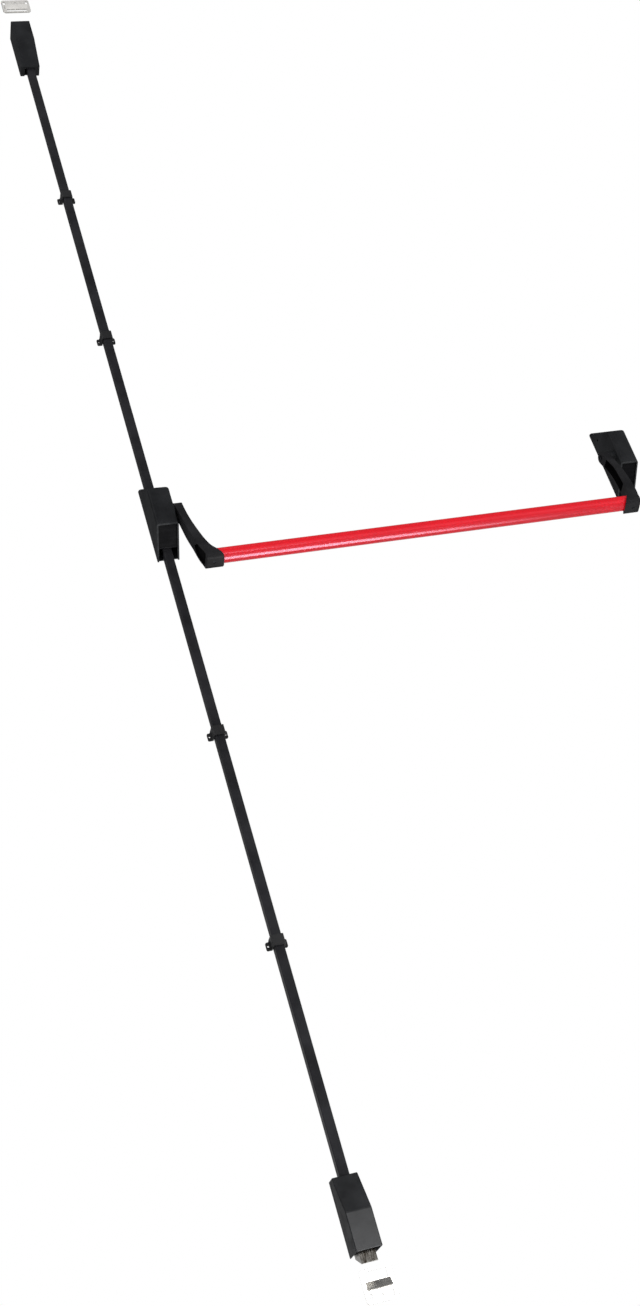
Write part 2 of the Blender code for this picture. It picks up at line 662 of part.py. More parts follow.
def upper_tail():
    """Right rack on the upper rod."""
    bar = rack_bar(1, PINION_Z - 5 * MM, UPPER_ROD_LOW - 5 * MM, PINION_Z - 5.5 * MM, PINION_Z + STROKE + 4.5 * MM)
    return plus(bar, tail_block(UPPER_ROD_LOW, 1))


def pinion():
    module = 2 * PINION_PITCH / PINION_TEETH
    outer = PINION_PITCH + module - 0.15 * MM
    root = PINION_PITCH - 1.3 * module
    points = []
    for k in range(PINION_TEETH):
        middle = math.tau * k / PINION_TEETH
        for radius, off in ((root, -0.19), (outer, -0.065), (outer, 0.065), (root, 0.19)):
            angle = middle + math.tau / PINION_TEETH * off * 1.9
            points.append((radius * math.cos(angle), PINION_Z + radius * math.sin(angle)))
    return prism(points, "Y", TAIL_BACK - TAIL_THICK, TAIL_BACK, [circle(0, PINION_Z, PINION_POST + RUN, 20)])


def pinion_post():
    """Shouldered post riveted in the chassis, with a head in front of the pinion."""
    front = TAIL_BACK - TAIL_THICK - RUN
    body = cylinder("Y", 0, PINION_Z, PINION_POST, front - 1.6 * MM, -0.2 * MM, 20)
    body = plus(body, cylinder("Y", 0, PINION_Z, 4.2 * MM, front - 1.6 * MM, front, 20))
    return plus(body, cylinder("Y", 0, PINION_Z, 3.8 * MM, TAIL_BACK + RUN, -PLATE - FIT, 20))


def drive_lever():
    """Lever on the axle, reaching back to the door."""
    half = LEVER_THICK / 2
    end_y = LEVER_PIN_Y
    hub, tip = 9 * MM, 4.6 * MM
    outline = []
    tilt = math.acos((hub - tip) / LEVER_RADIUS)
    for k in range(13):
        angle = tilt + (math.tau - 2 * tilt) * k / 12
        outline.append((PIVOT_Y + hub * math.cos(angle), hub * math.sin(angle)))
    for k in range(9):
        angle = -tilt + 2 * tilt * k / 8
        outline.append((end_y + tip * math.cos(angle), tip * math.sin(angle)))
    return prism(outline, "X", -half, half,
                 [circle(PIVOT_Y, 0, AXLE_RADIUS + FIT, 24), circle(end_y, 0, LEVER_PIN + FIT, 16)])


# Arms and bar
ARM_VECTOR = Vector((BAR_Y - PIVOT_Y, BAR_Z))
ARM_LENGTH = ARM_VECTOR.length
ARM_ALONG = ARM_VECTOR.normalized()
ARM_OUT = Vector((ARM_ALONG.y, -ARM_ALONG.x))     # away from the door, across the arm


def arm_point(s, f):
    """(y, z) of a point s along the arm from the pivot and f in front of its line."""
    return Vector((PIVOT_Y, 0)) + ARM_ALONG * s + ARM_OUT * f


def arm_faces(s):
    """Outer and inner X of the arm at s, smoothed between the stations."""
    t = max(ARM_STATIONS[0][0], min(ARM_STATIONS[-1][0], s / ARM_LENGTH))
    for k, (low, high) in enumerate(zip(ARM_STATIONS, ARM_STATIONS[1:])):
        if t <= high[0]:
            break
    before = ARM_STATIONS[max(k - 1, 0)]
    after = ARM_STATIONS[min(k + 2, len(ARM_STATIONS) - 1)]
    u = (t - low[0]) / (high[0] - low[0])
    out = []
    for i in (1, 2):
        span = high[0] - low[0]
        m0 = (high[i] - before[i]) / (high[0] - before[0]) * span
        m1 = (after[i] - low[i]) / (after[0] - low[0]) * span
        out.append((2 * u ** 3 - 3 * u ** 2 + 1) * low[i] + (u ** 3 - 2 * u ** 2 + u) * m0
                   + (3 * u ** 2 - 2 * u ** 3) * high[i] + (u ** 3 - u ** 2) * m1)
    outer = ARM_X + out[0] * MM
    return outer, outer + out[1] * MM


def ease(t):
    t = max(0.0, min(1.0, t))
    return t * t * (3 - 2 * t)


def arm_depths(s):
    """Rear and front limits of the arm at s, measured across its line."""
    if s < 0:
        cap = math.sqrt(max(0.0, ARM_ROOT_RADIUS ** 2 - s ** 2))
        return -cap, cap
    front = ARM_ROOT_RADIUS + (ARM_FRONT - ARM_ROOT_RADIUS) * ease(s / (60 * MM))
    back = ARM_ROOT_RADIUS + (ARM_BACK - ARM_ROOT_RADIUS) * ease(s / (30 * MM))
    grow = ease((s - ARM_LENGTH + 45 * MM) / (45 * MM))
    front += (ARM_END_RADIUS - ARM_FRONT) * grow
    back += (ARM_END_RADIUS - ARM_BACK) * grow
    over = s - (ARM_LENGTH + ARM_END_RADIUS - ARM_END_CORNER)
    if over > 0:
        cut = ARM_END_CORNER - math.sqrt(max(0.0, ARM_END_CORNER ** 2 - over ** 2))
        front, back = front - cut, back - cut
    return -back, front


def arm_stations(first, last):
    inner = [s for s in (k * 10 * MM for k in range(1, 40)) if first + 4 * MM < s < last - 4 * MM]
    return [first] + inner + [last]


def arm_blank():
    stations = [-ARM_ROOT_RADIUS * math.cos(math.pi / 2 * k / 6) for k in range(0, 6)]
    turn = ARM_LENGTH + ARM_END_RADIUS - ARM_END_CORNER
    stations += arm_stations(0.0, turn)
    stations += [turn + ARM_END_CORNER * math.sin(math.pi / 2 * k / 5) for k in range(1, 6)]
    body = bmesh.new()
    rows = []
    for s in stations:
        back, front = arm_depths(s)
        outer, inner = arm_faces(s)
        if front - back < 0.2 * MM:
            y, z = arm_point(s, 0)
            one, two = body.verts.new((outer, y, z)), body.verts.new((inner, y, z))
            rows.append((one, one, two, two))
            continue
        (y0, z0), (y1, z1) = arm_point(s, back), arm_point(s, front)
        rows.append((body.verts.new((outer, y0, z0)), body.verts.new((outer, y1, z1)),
                     body.verts.new((inner, y1, z1)), body.verts.new((inner, y0, z0))))
    for near, far in zip(rows, rows[1:]):
        for i in range(4):
            j = (i + 1) % 4
            corners = []
            for vert in (near[i], near[j], far[j], far[i]):
                if vert not in corners:
                    corners.append(vert)
            if len(corners) > 2:
                body.faces.new(corners)
    body.faces.new(rows[-1])
    bmesh.ops.recalc_face_normals(body, faces=body.faces)
    edges = [e for e in body.edges if len(e.link_faces) == 2 and e.calc_face_angle() > math.radians(60)]
    bmesh.ops.bevel(body, geom=edges, offset=ARM_EDGE, segments=2, profile=0.6, affect="EDGES")
    return body


def arm_pocket(s0, s1, inset, depth_from, depth_to, taper=True):
    """Pocket cutter between two X positions given as functions of s."""
    body = bmesh.new()
    rows = []
    for k, s in enumerate(arm_stations(s0, s1)):
        back, front = arm_depths(s)
        back, front = back + inset, front - inset
        if taper and k == 0:
            middle = (back + front) / 2
            back, front = middle - 1.5 * MM, middle + 1.5 * MM
        (y0, z0), (y1, z1) = arm_point(s, back), arm_point(s, front)
        low, high = depth_from(s), depth_to(s)
        rows.append((body.verts.new((low, y0, z0)), body.verts.new((low, y1, z1)),
                     body.verts.new((high, y1, z1)), body.verts.new((high, y0, z0))))
    for near, far in zip(rows, rows[1:]):
        for i in range(4):
            j = (i + 1) % 4
            body.faces.new((near[i], near[j], far[j], far[i]))
    body.faces.new(rows[0])
    body.faces.new(rows[-1])
    bmesh.ops.recalc_face_normals(body, faces=body.faces)
    return body


ARM_END_OUTER, ARM_END_INNER = arm_faces(ARM_LENGTH)
SOCKET_FLOOR = ARM_END_OUTER + SOCKET_WALL
GRUB_X = ARM_END_INNER - GRUB_IN
ARM_SEAT = ARM_X + arm_faces(0.0)[1] - arm_faces(0.0)[0] - 0.6 * MM     # under the arm screw's head
SQUARE = 4 * MM                   # half of the axle's square end
SQUARE_LENGTH = 5 * MM


def arm():
    """Left arm: solid outer side with a pocket at the bar, long hollow on the inner side."""
    body = arm_blank()
    body = less(body, cylinder("X", BAR_Y, BAR_Z, BAR_RADIUS + FIT, SOCKET_FLOOR, ARM_END_INNER + 30 * MM, 40))
    pocket = arm_pocket(ARM_LENGTH - 34 * MM, ARM_LENGTH + 8 * MM, 2.6 * MM, lambda s: ARM_X - 5 * MM,
                        lambda s: min(SOCKET_FLOOR - 2 * MM, arm_faces(s)[0] + 4 * MM))
    body = less(body, pocket)
    hollow = arm_pocket(20 * MM, 108 * MM, 2.4 * MM, lambda s: arm_faces(s)[0] + 2.8 * MM, lambda s: 120 * MM, False)
    body = less(body, hollow)
    half = SQUARE + FIT
    body = less(body, prism(rectangle(PIVOT_Y - half, PIVOT_Y + half, -half, half), "X", 0, ARM_X + SQUARE_LENGTH),
                cylinder("X", PIVOT_Y, 0, 2.1 * MM + FIT, 0, 60 * MM, 16),
                cylinder("X", PIVOT_Y, 0, ARM_SCREW_HEAD + RUN, ARM_SEAT, 60 * MM, 28))
    start = arm_point(ARM_LENGTH, 0)
    return less(body, radial(GRUB_X, start, BAR_RADIUS - 1 * MM, ARM_END_RADIUS + 4 * MM, GRUB + FIT))


def radial(x, start, near, far, radius, sides=18):
    """Cylinder that runs down the arm's line from the bar's axis, between two distances."""
    body = bmesh.new()
    rings = []
    for distance in (near, far):
        centre = start + ARM_ALONG * distance
        rings.append([body.verts.new((x + radius * math.cos(math.tau * k / sides),
                                      centre.x + ARM_OUT.x * radius * math.sin(math.tau * k / sides),
                                      centre.y + ARM_OUT.y * radius * math.sin(math.tau * k / sides)))
                      for k in range(sides)])
    for k in range(sides):
        j = (k + 1) % sides
        body.faces.new((rings[0][k], rings[0][j], rings[1][j], rings[1][k]))
    body.faces.new(rings[0])
    body.faces.new(rings[1])
    bmesh.ops.recalc_face_normals(body, faces=body.faces)
    return body


def bar_grub():
    start = arm_point(ARM_LENGTH, 0)
    body = radial(GRUB_X, start, BAR_RADIUS + FIT, ARM_END_RADIUS - 0.5 * MM, GRUB)
    return less(body, radial(GRUB_X, start, ARM_END_RADIUS - 1.6 * MM, ARM_END_RADIUS + 3 * MM, 1.3 * MM, 6))


def axle(case):
    """Round axle with a square end in the arm, drilled for the arm's screw."""
    shoulder = ARM_X - 0.4 * MM
    body = cylinder("X", PIVOT_Y, 0, AXLE_RADIUS, case.inner_left, shoulder, 28)
    edge = math.sqrt(AXLE_RADIUS ** 2 - SQUARE ** 2)
    square = [(PIVOT_Y + u, v) for u, v in ((SQUARE, -edge), (SQUARE, edge), (edge, SQUARE), (-edge, SQUARE),
                                            (-SQUARE, edge), (-SQUARE, -edge), (-edge, -SQUARE), (edge, -SQUARE))]
    body = plus(body, prism(square, "X", shoulder - 2 * MM, ARM_X + SQUARE_LENGTH - FIT))
    return less(body, cylinder("X", PIVOT_Y, 0, 2.1 * MM + FIT, ARM_X - 8 * MM, 60 * MM, 16))


def arm_screw():
    """Pan head screw that holds the arm on the axle."""
    face = ARM_SEAT + FIT
    body = cylinder("X", PIVOT_Y, 0, 2.1 * MM, ARM_X - 7 * MM, face + 0.5 * MM, 16)
    head = cylinder("X", PIVOT_Y, 0, ARM_SCREW_HEAD, face, face + 2.6 * MM, 24)
    edges = [e for e in head.edges if all(abs(v.co.x - face - 2.6 * MM) < 1e-6 for v in e.verts)]
    bmesh.ops.bevel(head, geom=edges, offset=0.9 * MM, segments=2, profile=0.5, affect="EDGES")
    body = plus(body, head)
    return less(body, cylinder("X", PIVOT_Y, 0, 1.7 * MM, face + 1.0 * MM, face + 6 * MM, 6))


# Guides and strikes
def guide(height):
    """Saddle over the rod with a screw tab on each side."""
    half = ROD / 2 + RUN
    outer = half + GUIDE_WALL
    front = ROD_Y - ROD / 2 - RUN
    corner = 1.6 * MM
    low, high = height - GUIDE_TAB_HEIGHT / 2, height + GUIDE_TAB_HEIGHT / 2
    outline = rounded([(-outer, 0), (-outer, front - GUIDE_WALL), (outer, front - GUIDE_WALL), (outer, 0),
                       (half, 0), (half, front), (-half, front), (-half, 0)],
                      [0, corner, corner, 0, 0, 0, 0, 0], 3)
    body = prism(outline, "Z", low, high + GUIDE_SHOULDER)
    for side in (-1, 1):
        root, edge = side * (outer - 1 * MM), side * GUIDE_WIDTH / 2
        shoulder = side * (outer + 2.2 * MM)
        corners = [(root, low), (edge, low), (edge, high), (shoulder, high), (root, high + GUIDE_SHOULDER)]
        tab = prism(rounded(corners, [0, 2.2 * MM, 2.2 * MM, 0, 0], 3), "Y", -GUIDE_TAB, 0,
                    [circle(side * (GUIDE_WIDTH / 2 - 3.6 * MM), height, 1.7 * MM, 16)])
        body = plus(body, tab)
    return body


def strike(width, flange, ramp_height, window_width, window_height, slot_spacing):
    """Bottom strike with its upper edge at Z = 0: window, ramp, then a flange with slots."""
    half = width / 2
    low = -(STRIKE_RIM + window_height + ramp_height)
    height = flange - low
    outline = rounded(rectangle(-half, half, -height, 0), [5 * MM, 5 * MM, 6 * MM, 6 * MM], 5)
    wide = window_width / 2
    top = -STRIKE_RIM - window_height
    window = rounded(rectangle(-wide, wide, top, -STRIKE_RIM), [2.6 * MM] * 4, 4)
    middle = -height + flange / 2 - 0.2 * MM
    slots = [rounded(rectangle(x - 2.8 * MM, x + 2.8 * MM, middle - 5 * MM, middle + 5 * MM), [2.7 * MM] * 4, 5)
             for x in (-slot_spacing / 2, slot_spacing / 2)]
    body = prism(outline, "Y", -STRIKE_THICK, 0, [window, circle(0, middle, 2.6 * MM, 20)] + slots)
    start = -STRIKE_THICK + 0.6 * MM
    curve = []
    for k in range(9):
        bulge = (k / 8) ** 0.85
        curve.append((start - (STRIKE_RAMP_OUT + start) * bulge, top + (low - top) * k / 8))
    ramp = [(-1.0 * MM, top)] + curve + [(-1.0 * MM, low)]
    return plus(body, prism(ramp, "X", -wide - 2 * MM, wide + 2 * MM))


def shift(body, x=0.0, z=0.0):
    bmesh.ops.translate(body, verts=body.verts, vec=Vector((x, 0, z)))
    return body


# Joints
bar_pivot = empty("bar_pivot", Vector((MIRROR_X, PIVOT_Y, 0)))
upper_slide = empty("upper_slide", Vector((0, ROD_Y, UPPER_ROD_LOW)))
lower_slide = empty("lower_slide", Vector((0, ROD_Y, LOWER_ROD_TOP)))
pinion_axis = empty("pinion_axis", Vector((0, TAIL_BACK - TAIL_THICK / 2, PINION_Z)))

# Pieces on the door
put("centre_chassis", bar_chassis(ROD_CASE, True), DARK_ZINC)
put("centre_cover", bar_cover(ROD_CASE, True), BLACK_PAINT)
put("centre_shield", shield(ROD_CASE), BLACK_PAINT)
put("centre_cover_screw", cover_screw(ROD_CASE.right), DARK_STEEL)
put("centre_spring", return_spring(ROD_CASE), SPRING)
put("end_chassis", mirror_x(bar_chassis(END_CASE, False), MIRROR_X), DARK_ZINC)
put("end_cover", mirror_x(bar_cover(END_CASE, False), MIRROR_X), BLACK_PAINT)
put("end_shield", mirror_x(shield(END_CASE), MIRROR_X), BLACK_PAINT)
put("end_cover_screw", mirror_x(cover_screw(END_CASE.right), MIRROR_X), DARK_STEEL)
put("end_spring", mirror_x(return_spring(END_CASE), MIRROR_X), SPRING)
put("pinion_post", pinion_post(), STEEL)

for prefix, latch, place in (("top", TOP_LATCH, LATCH_TOP), ("bottom", BOTTOM_LATCH, LATCH_BOTTOM)):
    head = LATCH_RIGHT - 0.5 * MM
    pieces = {
        "latch_chassis": (latch_chassis(latch), DARK_ZINC),
        "latch_cover": (latch_cover(latch), BLACK_PAINT),
        "latch_screw": (socket_screw("X", LATCH_SCREW_Y, LATCH_SCREW_Z, LATCH_SCREW, head - 6 * MM, head,
                                     1.1 * MM, 1.4 * MM), DARK_STEEL),
    }
    for name, (body, look) in pieces.items():
        if prefix == "top":
            body = mirror_z(body)
        put(prefix + "_" + name, shift(body, z=place), look)

for number, height in enumerate(GUIDE_HEIGHTS, 1):
    put("rod_guide_%d" % number, guide(height), BLACK_PLASTIC)

keeper = strike(BOTTOM_STRIKE_WIDTH, BOTTOM_STRIKE_FLANGE, BOTTOM_STRIKE_RAMP, BOTTOM_STRIKE_WINDOW,
                BOTTOM_STRIKE_OPEN, BOTTOM_STRIKE_SLOTS)
put("bottom_strike", shift(keeper, BOTTOM_STRIKE_X, BOTTOM_STRIKE_Z), NICKEL)
keeper = strike(TOP_STRIKE_WIDTH, TOP_STRIKE_FLANGE, TOP_STRIKE_RAMP, TOP_STRIKE_WINDOW, TOP_STRIKE_OPEN,
                TOP_STRIKE_SLOTS)
put("top_strike", shift(mirror_z(keeper), TOP_STRIKE_X, TOP_STRIKE_Z), NICKEL)

# Upper rod, slides down
rod_gap = 0.4 * MM
bolt_end = LATCH_TOP - BOLT_BODY
put("top_bolt", shift(mirror_z(bolt()), z=LATCH_TOP), NICKEL, upper_slide)
put("top_bolt_pin", pin(bolt_end - TENON_LENGTH / 2), STEEL, upper_slide)
put("upper_rod", rod(UPPER_ROD_LOW, bolt_end - rod_gap,
                     (UPPER_ROD_LOW + TENON_LENGTH / 2, bolt_end - TENON_LENGTH / 2)), BLACK_ROD, upper_slide)
put("upper_tail", upper_tail(), ZINC, upper_slide)
put("upper_tail_pin", pin(UPPER_ROD_LOW + TENON_LENGTH / 2), STEEL, upper_slide)

# Lower rod, slides up
bolt_end = LATCH_BOTTOM + BOLT_BODY
put("bottom_bolt", shift(bolt(), z=LATCH_BOTTOM), NICKEL, lower_slide)
put("bottom_bolt_pin", pin(bolt_end + TENON_LENGTH / 2), STEEL, lower_slide)
put("lower_rod", rod(bolt_end + rod_gap, LOWER_ROD_TOP,
                     (bolt_end + TENON_LENGTH / 2, LOWER_ROD_TOP - TENON_LENGTH / 2)), BLACK_ROD, lower_slide)
put("lower_tail", lower_tail(), ZINC, lower_slide)
put("lower_tail_pin", pin(LOWER_ROD_TOP - TENON_LENGTH / 2), STEEL, lower_slide)

# Pinion, turns about Y
put("pinion", pinion(), STEEL, pinion_axis)

# Bar, swings about X
put("drive_lever", drive_lever(), ZINC, bar_pivot)
lever_y = LEVER_PIN_Y
put("lever_pin", cylinder("X", lever_y, 0, LEVER_PIN, -TAIL_OUT + 0.3 * MM, LEVER_THICK / 2, 18), STEEL, bar_pivot)


def spacer(start, end):
    return tube("X", PIVOT_Y, 0, AXLE_RADIUS + 2 * MM, AXLE_RADIUS + FIT, start, end, 24)


def coil_end(case):
    return case.inner_right - CHEEK - RUN - 2 * SPRING_WIRE - SPRING_LENGTH - FIT


put("left_spacer", spacer(ROD_CASE.inner_left + CHEEK + RUN, -LEVER_THICK / 2 - FIT), STEEL, bar_pivot)
put("right_spacer", mirror_x(spacer(END_CASE.inner_left + CHEEK + RUN, coil_end(END_CASE)), MIRROR_X), STEEL,
    bar_pivot)
for prefix, case in (("left", ROD_CASE), ("right", END_CASE)):
    pieces = {
        "arm": (arm(), BLACK_ARM),
        "axle": (axle(case), STEEL),
        "arm_screw": (arm_screw(), DARK_STEEL),
        "bar_grub": (bar_grub(), DARK_STEEL),
    }
    for name, (body, look) in pieces.items():
        if prefix == "right":
            body = mirror_x(body, MIRROR_X)
        put(prefix + "_" + name, body, look, bar_pivot)
bar_end = SOCKET_FLOOR + FIT
put("push_bar", tube("X", BAR_Y, BAR_Z, BAR_RADIUS, BAR_RADIUS - BAR_WALL, bar_end,
                     BEARING_SPACING - bar_end, 48), RED_PAINT, bar_pivot)
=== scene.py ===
"""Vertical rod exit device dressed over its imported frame: covers, rods, red push bar, bolts and strikes.

Everything is in metres in the frame of the part: X along the bar, Y into the door, Z up, with the door's
face at Y = 0, the rods at X = 0 and the arms' pivot axis at Z = 0.
"""
import json
import math

import bmesh
import bpy
from bpy.props import FloatProperty, FloatVectorProperty, IntProperty, PointerProperty
from mathutils import Matrix, Vector, geometry


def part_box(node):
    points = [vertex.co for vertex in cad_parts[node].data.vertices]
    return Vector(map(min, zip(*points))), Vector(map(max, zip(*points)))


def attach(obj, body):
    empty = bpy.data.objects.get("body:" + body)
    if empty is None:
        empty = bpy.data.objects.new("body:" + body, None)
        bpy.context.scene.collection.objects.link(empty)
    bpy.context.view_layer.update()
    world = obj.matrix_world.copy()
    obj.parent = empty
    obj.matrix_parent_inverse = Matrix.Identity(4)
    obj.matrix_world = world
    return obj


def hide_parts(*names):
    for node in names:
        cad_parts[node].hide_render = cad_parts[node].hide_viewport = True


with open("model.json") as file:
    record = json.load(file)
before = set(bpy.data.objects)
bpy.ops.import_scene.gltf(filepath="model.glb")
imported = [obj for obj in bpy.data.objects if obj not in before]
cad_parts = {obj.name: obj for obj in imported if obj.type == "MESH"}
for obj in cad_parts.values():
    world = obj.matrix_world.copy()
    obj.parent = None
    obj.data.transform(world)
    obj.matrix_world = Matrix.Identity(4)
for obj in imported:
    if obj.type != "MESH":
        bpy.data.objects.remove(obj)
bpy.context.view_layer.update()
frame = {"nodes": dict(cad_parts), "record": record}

bl_info = {
    "name": "Vertical rod exit device",
    "version": (1, 0, 0),
    "blender": (4, 5, 0),
    "location": "3D View > Sidebar > Exit Device",
    "description": "Builds the finished pieces, materials, light and camera of a vertical rod exit device",
    "category": "Object",
}

MM = 0.001


def linear(code):
    """Linear colour of an sRGB hex code."""
    parts = [int(code[i:i + 2], 16) / 255 for i in (1, 3, 5)]
    return tuple(p / 12.92 if p <= 0.04045 else ((p + 0.055) / 1.055) ** 2.4 for p in parts)


# Sizes and colours
def length(name, value, text):
    return FloatProperty(name=name, description=text, default=value * MM, unit="LENGTH", precision=5)


def colour(name, code, text):
    return FloatVectorProperty(name=name, description=text, default=linear(code), subtype="COLOR", size=3,
                               min=0, max=1)


class DeviceSizes(bpy.types.PropertyGroup):
    case_depth: length("Case depth", 66, "Depth of the two bar cases from the door")
    case_wall: length("Case wall", 3, "Wall of the two bar covers")
    case_corner: length("Case corner", 4.2, "Radius of the covers' upright front corners")
    rod_case_round: length("Rod case roof round", 7, "Radius between the roof and the side walls by the rods")
    end_case_round: length("End case roof round", 8, "Radius between the roof and the side walls at the far end")
    case_brow: length("Roof front round", 4, "Radius between the roof and the front of a cover")
    boss_radius: length("Boss radius", 10.8, "Radius of the boss round the axle")
    boss_end: length("Boss end", 24.7, "Boss face from the rod axis")
    axle_hole: length("Axle hole", 5.4, "Radius of the hole for the axle")
    pivot_y: length("Pivot", -49, "Pivot axis of the arms, in front of the door")
    screw_y: length("Cover screw Y", -21, "Cover screw in front of the door")
    screw_z: length("Cover screw Z", 63, "Cover screw above the pivot axis")
    screw_hole: length("Cover screw hole", 2.4, "Radius of the cover screw's hole")
    rod: length("Rod", 16, "Side of the square rods")
    rod_wall: length("Rod wall", 1.5, "Wall of the square rods")
    rod_corner: length("Rod corner", 1.5, "Corner radius of the rods")
    rod_y: length("Rod axis", -11, "Rod axis in front of the door")
    bar_radius: length("Bar radius", 14, "Outer radius of the push bar")
    bar_wall: length("Bar wall", 1.5, "Wall of the push bar")
    bar_y: length("Bar Y", -98, "Bar axis in front of the door")
    bar_z: length("Bar Z", -144, "Bar axis from the pivot axis")
    arm_x: length("Arm face", 25, "Outer face of an arm at the pivot, from the rod axis")
    arm_root: length("Arm root", 10.5, "Radius of the arm round the pivot")
    arm_end: length("Arm end", 16.5, "Radius of the arm round the bar")
    arm_end_corner: length("Arm end corner", 9, "Corner radius at the arm's end")
    arm_back: length("Arm back", 9.5, "Arm behind the line from pivot to bar")
    arm_front: length("Arm front", 15.3, "Arm in front of the line from pivot to bar")
    arm_edge: length("Arm edge", 1.3, "Radius of the arm's long edges")
    mirror_x: length("Mirror plane", 461, "Middle between the two bar cases")
    latch_depth: length("Latch depth", 46, "Depth of the latch covers")
    latch_straight: length("Latch straight", 56, "Height of the latch covers' deep part")
    latch_wall: length("Latch wall", 2, "Wall of the latch covers")
    latch_edge: length("Latch edge", 1.8, "Radius of the latch covers' edges")
    guide_width: length("Guide width", 35.5, "Width of a rod guide over its tabs")
    segments: IntProperty(name="Segments", description="Sides of a full round", default=64, min=24, max=256)


class DeviceColours(bpy.types.PropertyGroup):
    powder: colour("Powder coat", "#1F2022", "Covers")
    rod: colour("Rod paint", "#1F1F22", "Rods")
    casting: colour("Arm paint", "#1F1F21", "Arms")
    red: colour("Red enamel", "#EA1926", "Push bar")
    nylon: colour("Nylon", "#141416", "Rod guides")
    nickel: colour("Nickel", "#E2E0DC", "Strikes")
    bolt: colour("Worn nickel", "#8E8C88", "Bolts")
    chassis: colour("Black zinc", "#2A2B2E", "Chassis plates")
    zinc: colour("Zinc", "#C6CACF", "Lever and racks")
    steel: colour("Steel", "#B9BABD", "Axles, pins and pinion")
    spring: colour("Spring steel", "#8C8D92", "Return springs")
    oxide: colour("Black oxide", "#26272A", "Screws")
    floor: colour("Floor", "#F0F0EE", "Floor")


def sizes():
    return bpy.context.scene.device_sizes


def colours():
    return bpy.context.scene.device_colours


# Material nodes
def node(tree, kind, values=None, **settings):
    """Adds a node; values maps a socket's name or index to a value or to an output to link."""
    made = tree.nodes.new(kind)
    for key, value in settings.items():
        setattr(made, key, value)
    for key, value in (values or {}).items():
        if isinstance(value, bpy.types.NodeSocket):
            tree.links.new(value, made.inputs[key])
        else:
            made.inputs[key].default_value = value
    return made


def rgba(value):
    return (*value, 1.0)


def blank(name):
    """A material with a Principled shader and object coordinates: (material, tree, shader, coordinates)."""
    made = bpy.data.materials.new(name)
    made.use_nodes = True
    tree = made.node_tree
    shader = tree.nodes["Principled BSDF"]
    return made, tree, shader, node(tree, "ShaderNodeTexCoord").outputs["Object"]


def noise(tree, coords, size, detail=3.0, stretch=(1, 1, 1), rough=0.5):
    """Noise whose grain is about size metres."""
    placed = node(tree, "ShaderNodeMapping", {"Vector": coords, "Scale": stretch})
    made = node(tree, "ShaderNodeTexNoise", {"Vector": placed.outputs[0], "Scale": 1 / size, "Detail": detail,
                                             "Roughness": rough})
    return made.outputs[0]


def ramp(tree, value, low, high, out_low=0.0, out_high=1.0):
    made = node(tree, "ShaderNodeMapRange", {"Value": value, "From Min": low, "From Max": high, "To Min": out_low,
                                             "To Max": out_high})
    return made.outputs[0]


def math_node(tree, operation, first, second):
    return node(tree, "ShaderNodeMath", {0: first, 1: second}, operation=operation).outputs[0]


def mix(tree, factor, first, second):
    made = node(tree, "ShaderNodeMix", {0: factor, 6: first, 7: second}, data_type="RGBA")
    return made.outputs[2]


def edge_wear_and_highlight(tree, coords, amount):
    """Mask of thin paint and worn spots on the edges, which carry the face attribute 'edge'; on the covers' mitred
    rims the same mask paints a highlight.
    """
    edge = node(tree, "ShaderNodeAttribute", attribute_name="edge").outputs["Fac"]
    spots = ramp(tree, noise(tree, coords, 9 * MM, 4, rough=0.65), 0.4, 0.7, 0.35 * amount, amount)
    return math_node(tree, "MULTIPLY", edge, spots)


def bump(tree, shader, height, distance, strength=1.0):
    made = node(tree, "ShaderNodeBump", {"Height": height, "Distance": distance, "Strength": strength})
    tree.links.new(made.outputs[0], shader.inputs["Normal"])


def painted(name, base, roughness, grain, depth, specular, wear_and_highlight, lines=None, reflection_bands=0.0):
    """Paint over metal: fine grain, soft blotches in colour and gloss, lighter worn edges (on the covers' rims a
    painted highlight), and painted shade in hollows.
    """
    made, tree, shader, coords = blank(name)
    blotches = noise(tree, coords, 45 * MM, 4)
    lighter = tuple(min(1.0, c * 1.35 + 0.002) for c in base)
    darker = tuple(c * 0.8 for c in base)
    body = mix(tree, ramp(tree, blotches, 0.35, 0.65), rgba(darker), rgba(lighter))
    dust = ramp(tree, noise(tree, coords, 9 * MM, 5, rough=0.7), 0.55, 0.8, 0, 0.18)
    body = mix(tree, dust, body, rgba(tuple(c * 1.2 + 0.010 for c in base)))
    # Lighter bands stretched along X: painted reflections.
    if reflection_bands:
        reflection_stripes = ramp(tree, noise(tree, coords, 5 * MM, 2, (0.03, 1, 1)), 0.45, 0.6, 0, reflection_bands)
        body = mix(tree, reflection_stripes, body, rgba(tuple(c * 2.2 + 0.004 for c in base)))
    # Lighter worn edges; on the covers' mitred rims the same mix is a painted highlight.
    body = mix(tree, edge_wear_and_highlight(tree, coords, 0.5), body, rgba(wear_and_highlight))
    # Painted shade: faces marked 'deep' (inside the covers and the arms) are darkened nearly to black.
    deep = node(tree, "ShaderNodeAttribute", attribute_name="deep").outputs["Fac"]
    body = mix(tree, ramp(tree, deep, 0, 1, 0, 0.85), body, rgba((0.0006, 0.0006, 0.0007)))
    tree.links.new(body, shader.inputs["Base Color"])
    gloss = ramp(tree, noise(tree, coords, 14 * MM, 4), 0.3, 0.7, roughness - 0.06, roughness + 0.06)
    tree.links.new(gloss, shader.inputs["Roughness"])
    # Painted shade: faces marked 'deep' keep only a little of their reflection.
    tree.links.new(ramp(tree, deep, 0, 1, specular, specular * 0.15), shader.inputs["Specular IOR Level"])
    height = noise(tree, coords, grain, 2)
    if lines:
        height = math_node(tree, "ADD", height, math_node(tree, "MULTIPLY", noise(tree, coords, 0.5 * MM, 3, lines),
                                                          0.8))
    bump(tree, shader, height, depth)
    return made


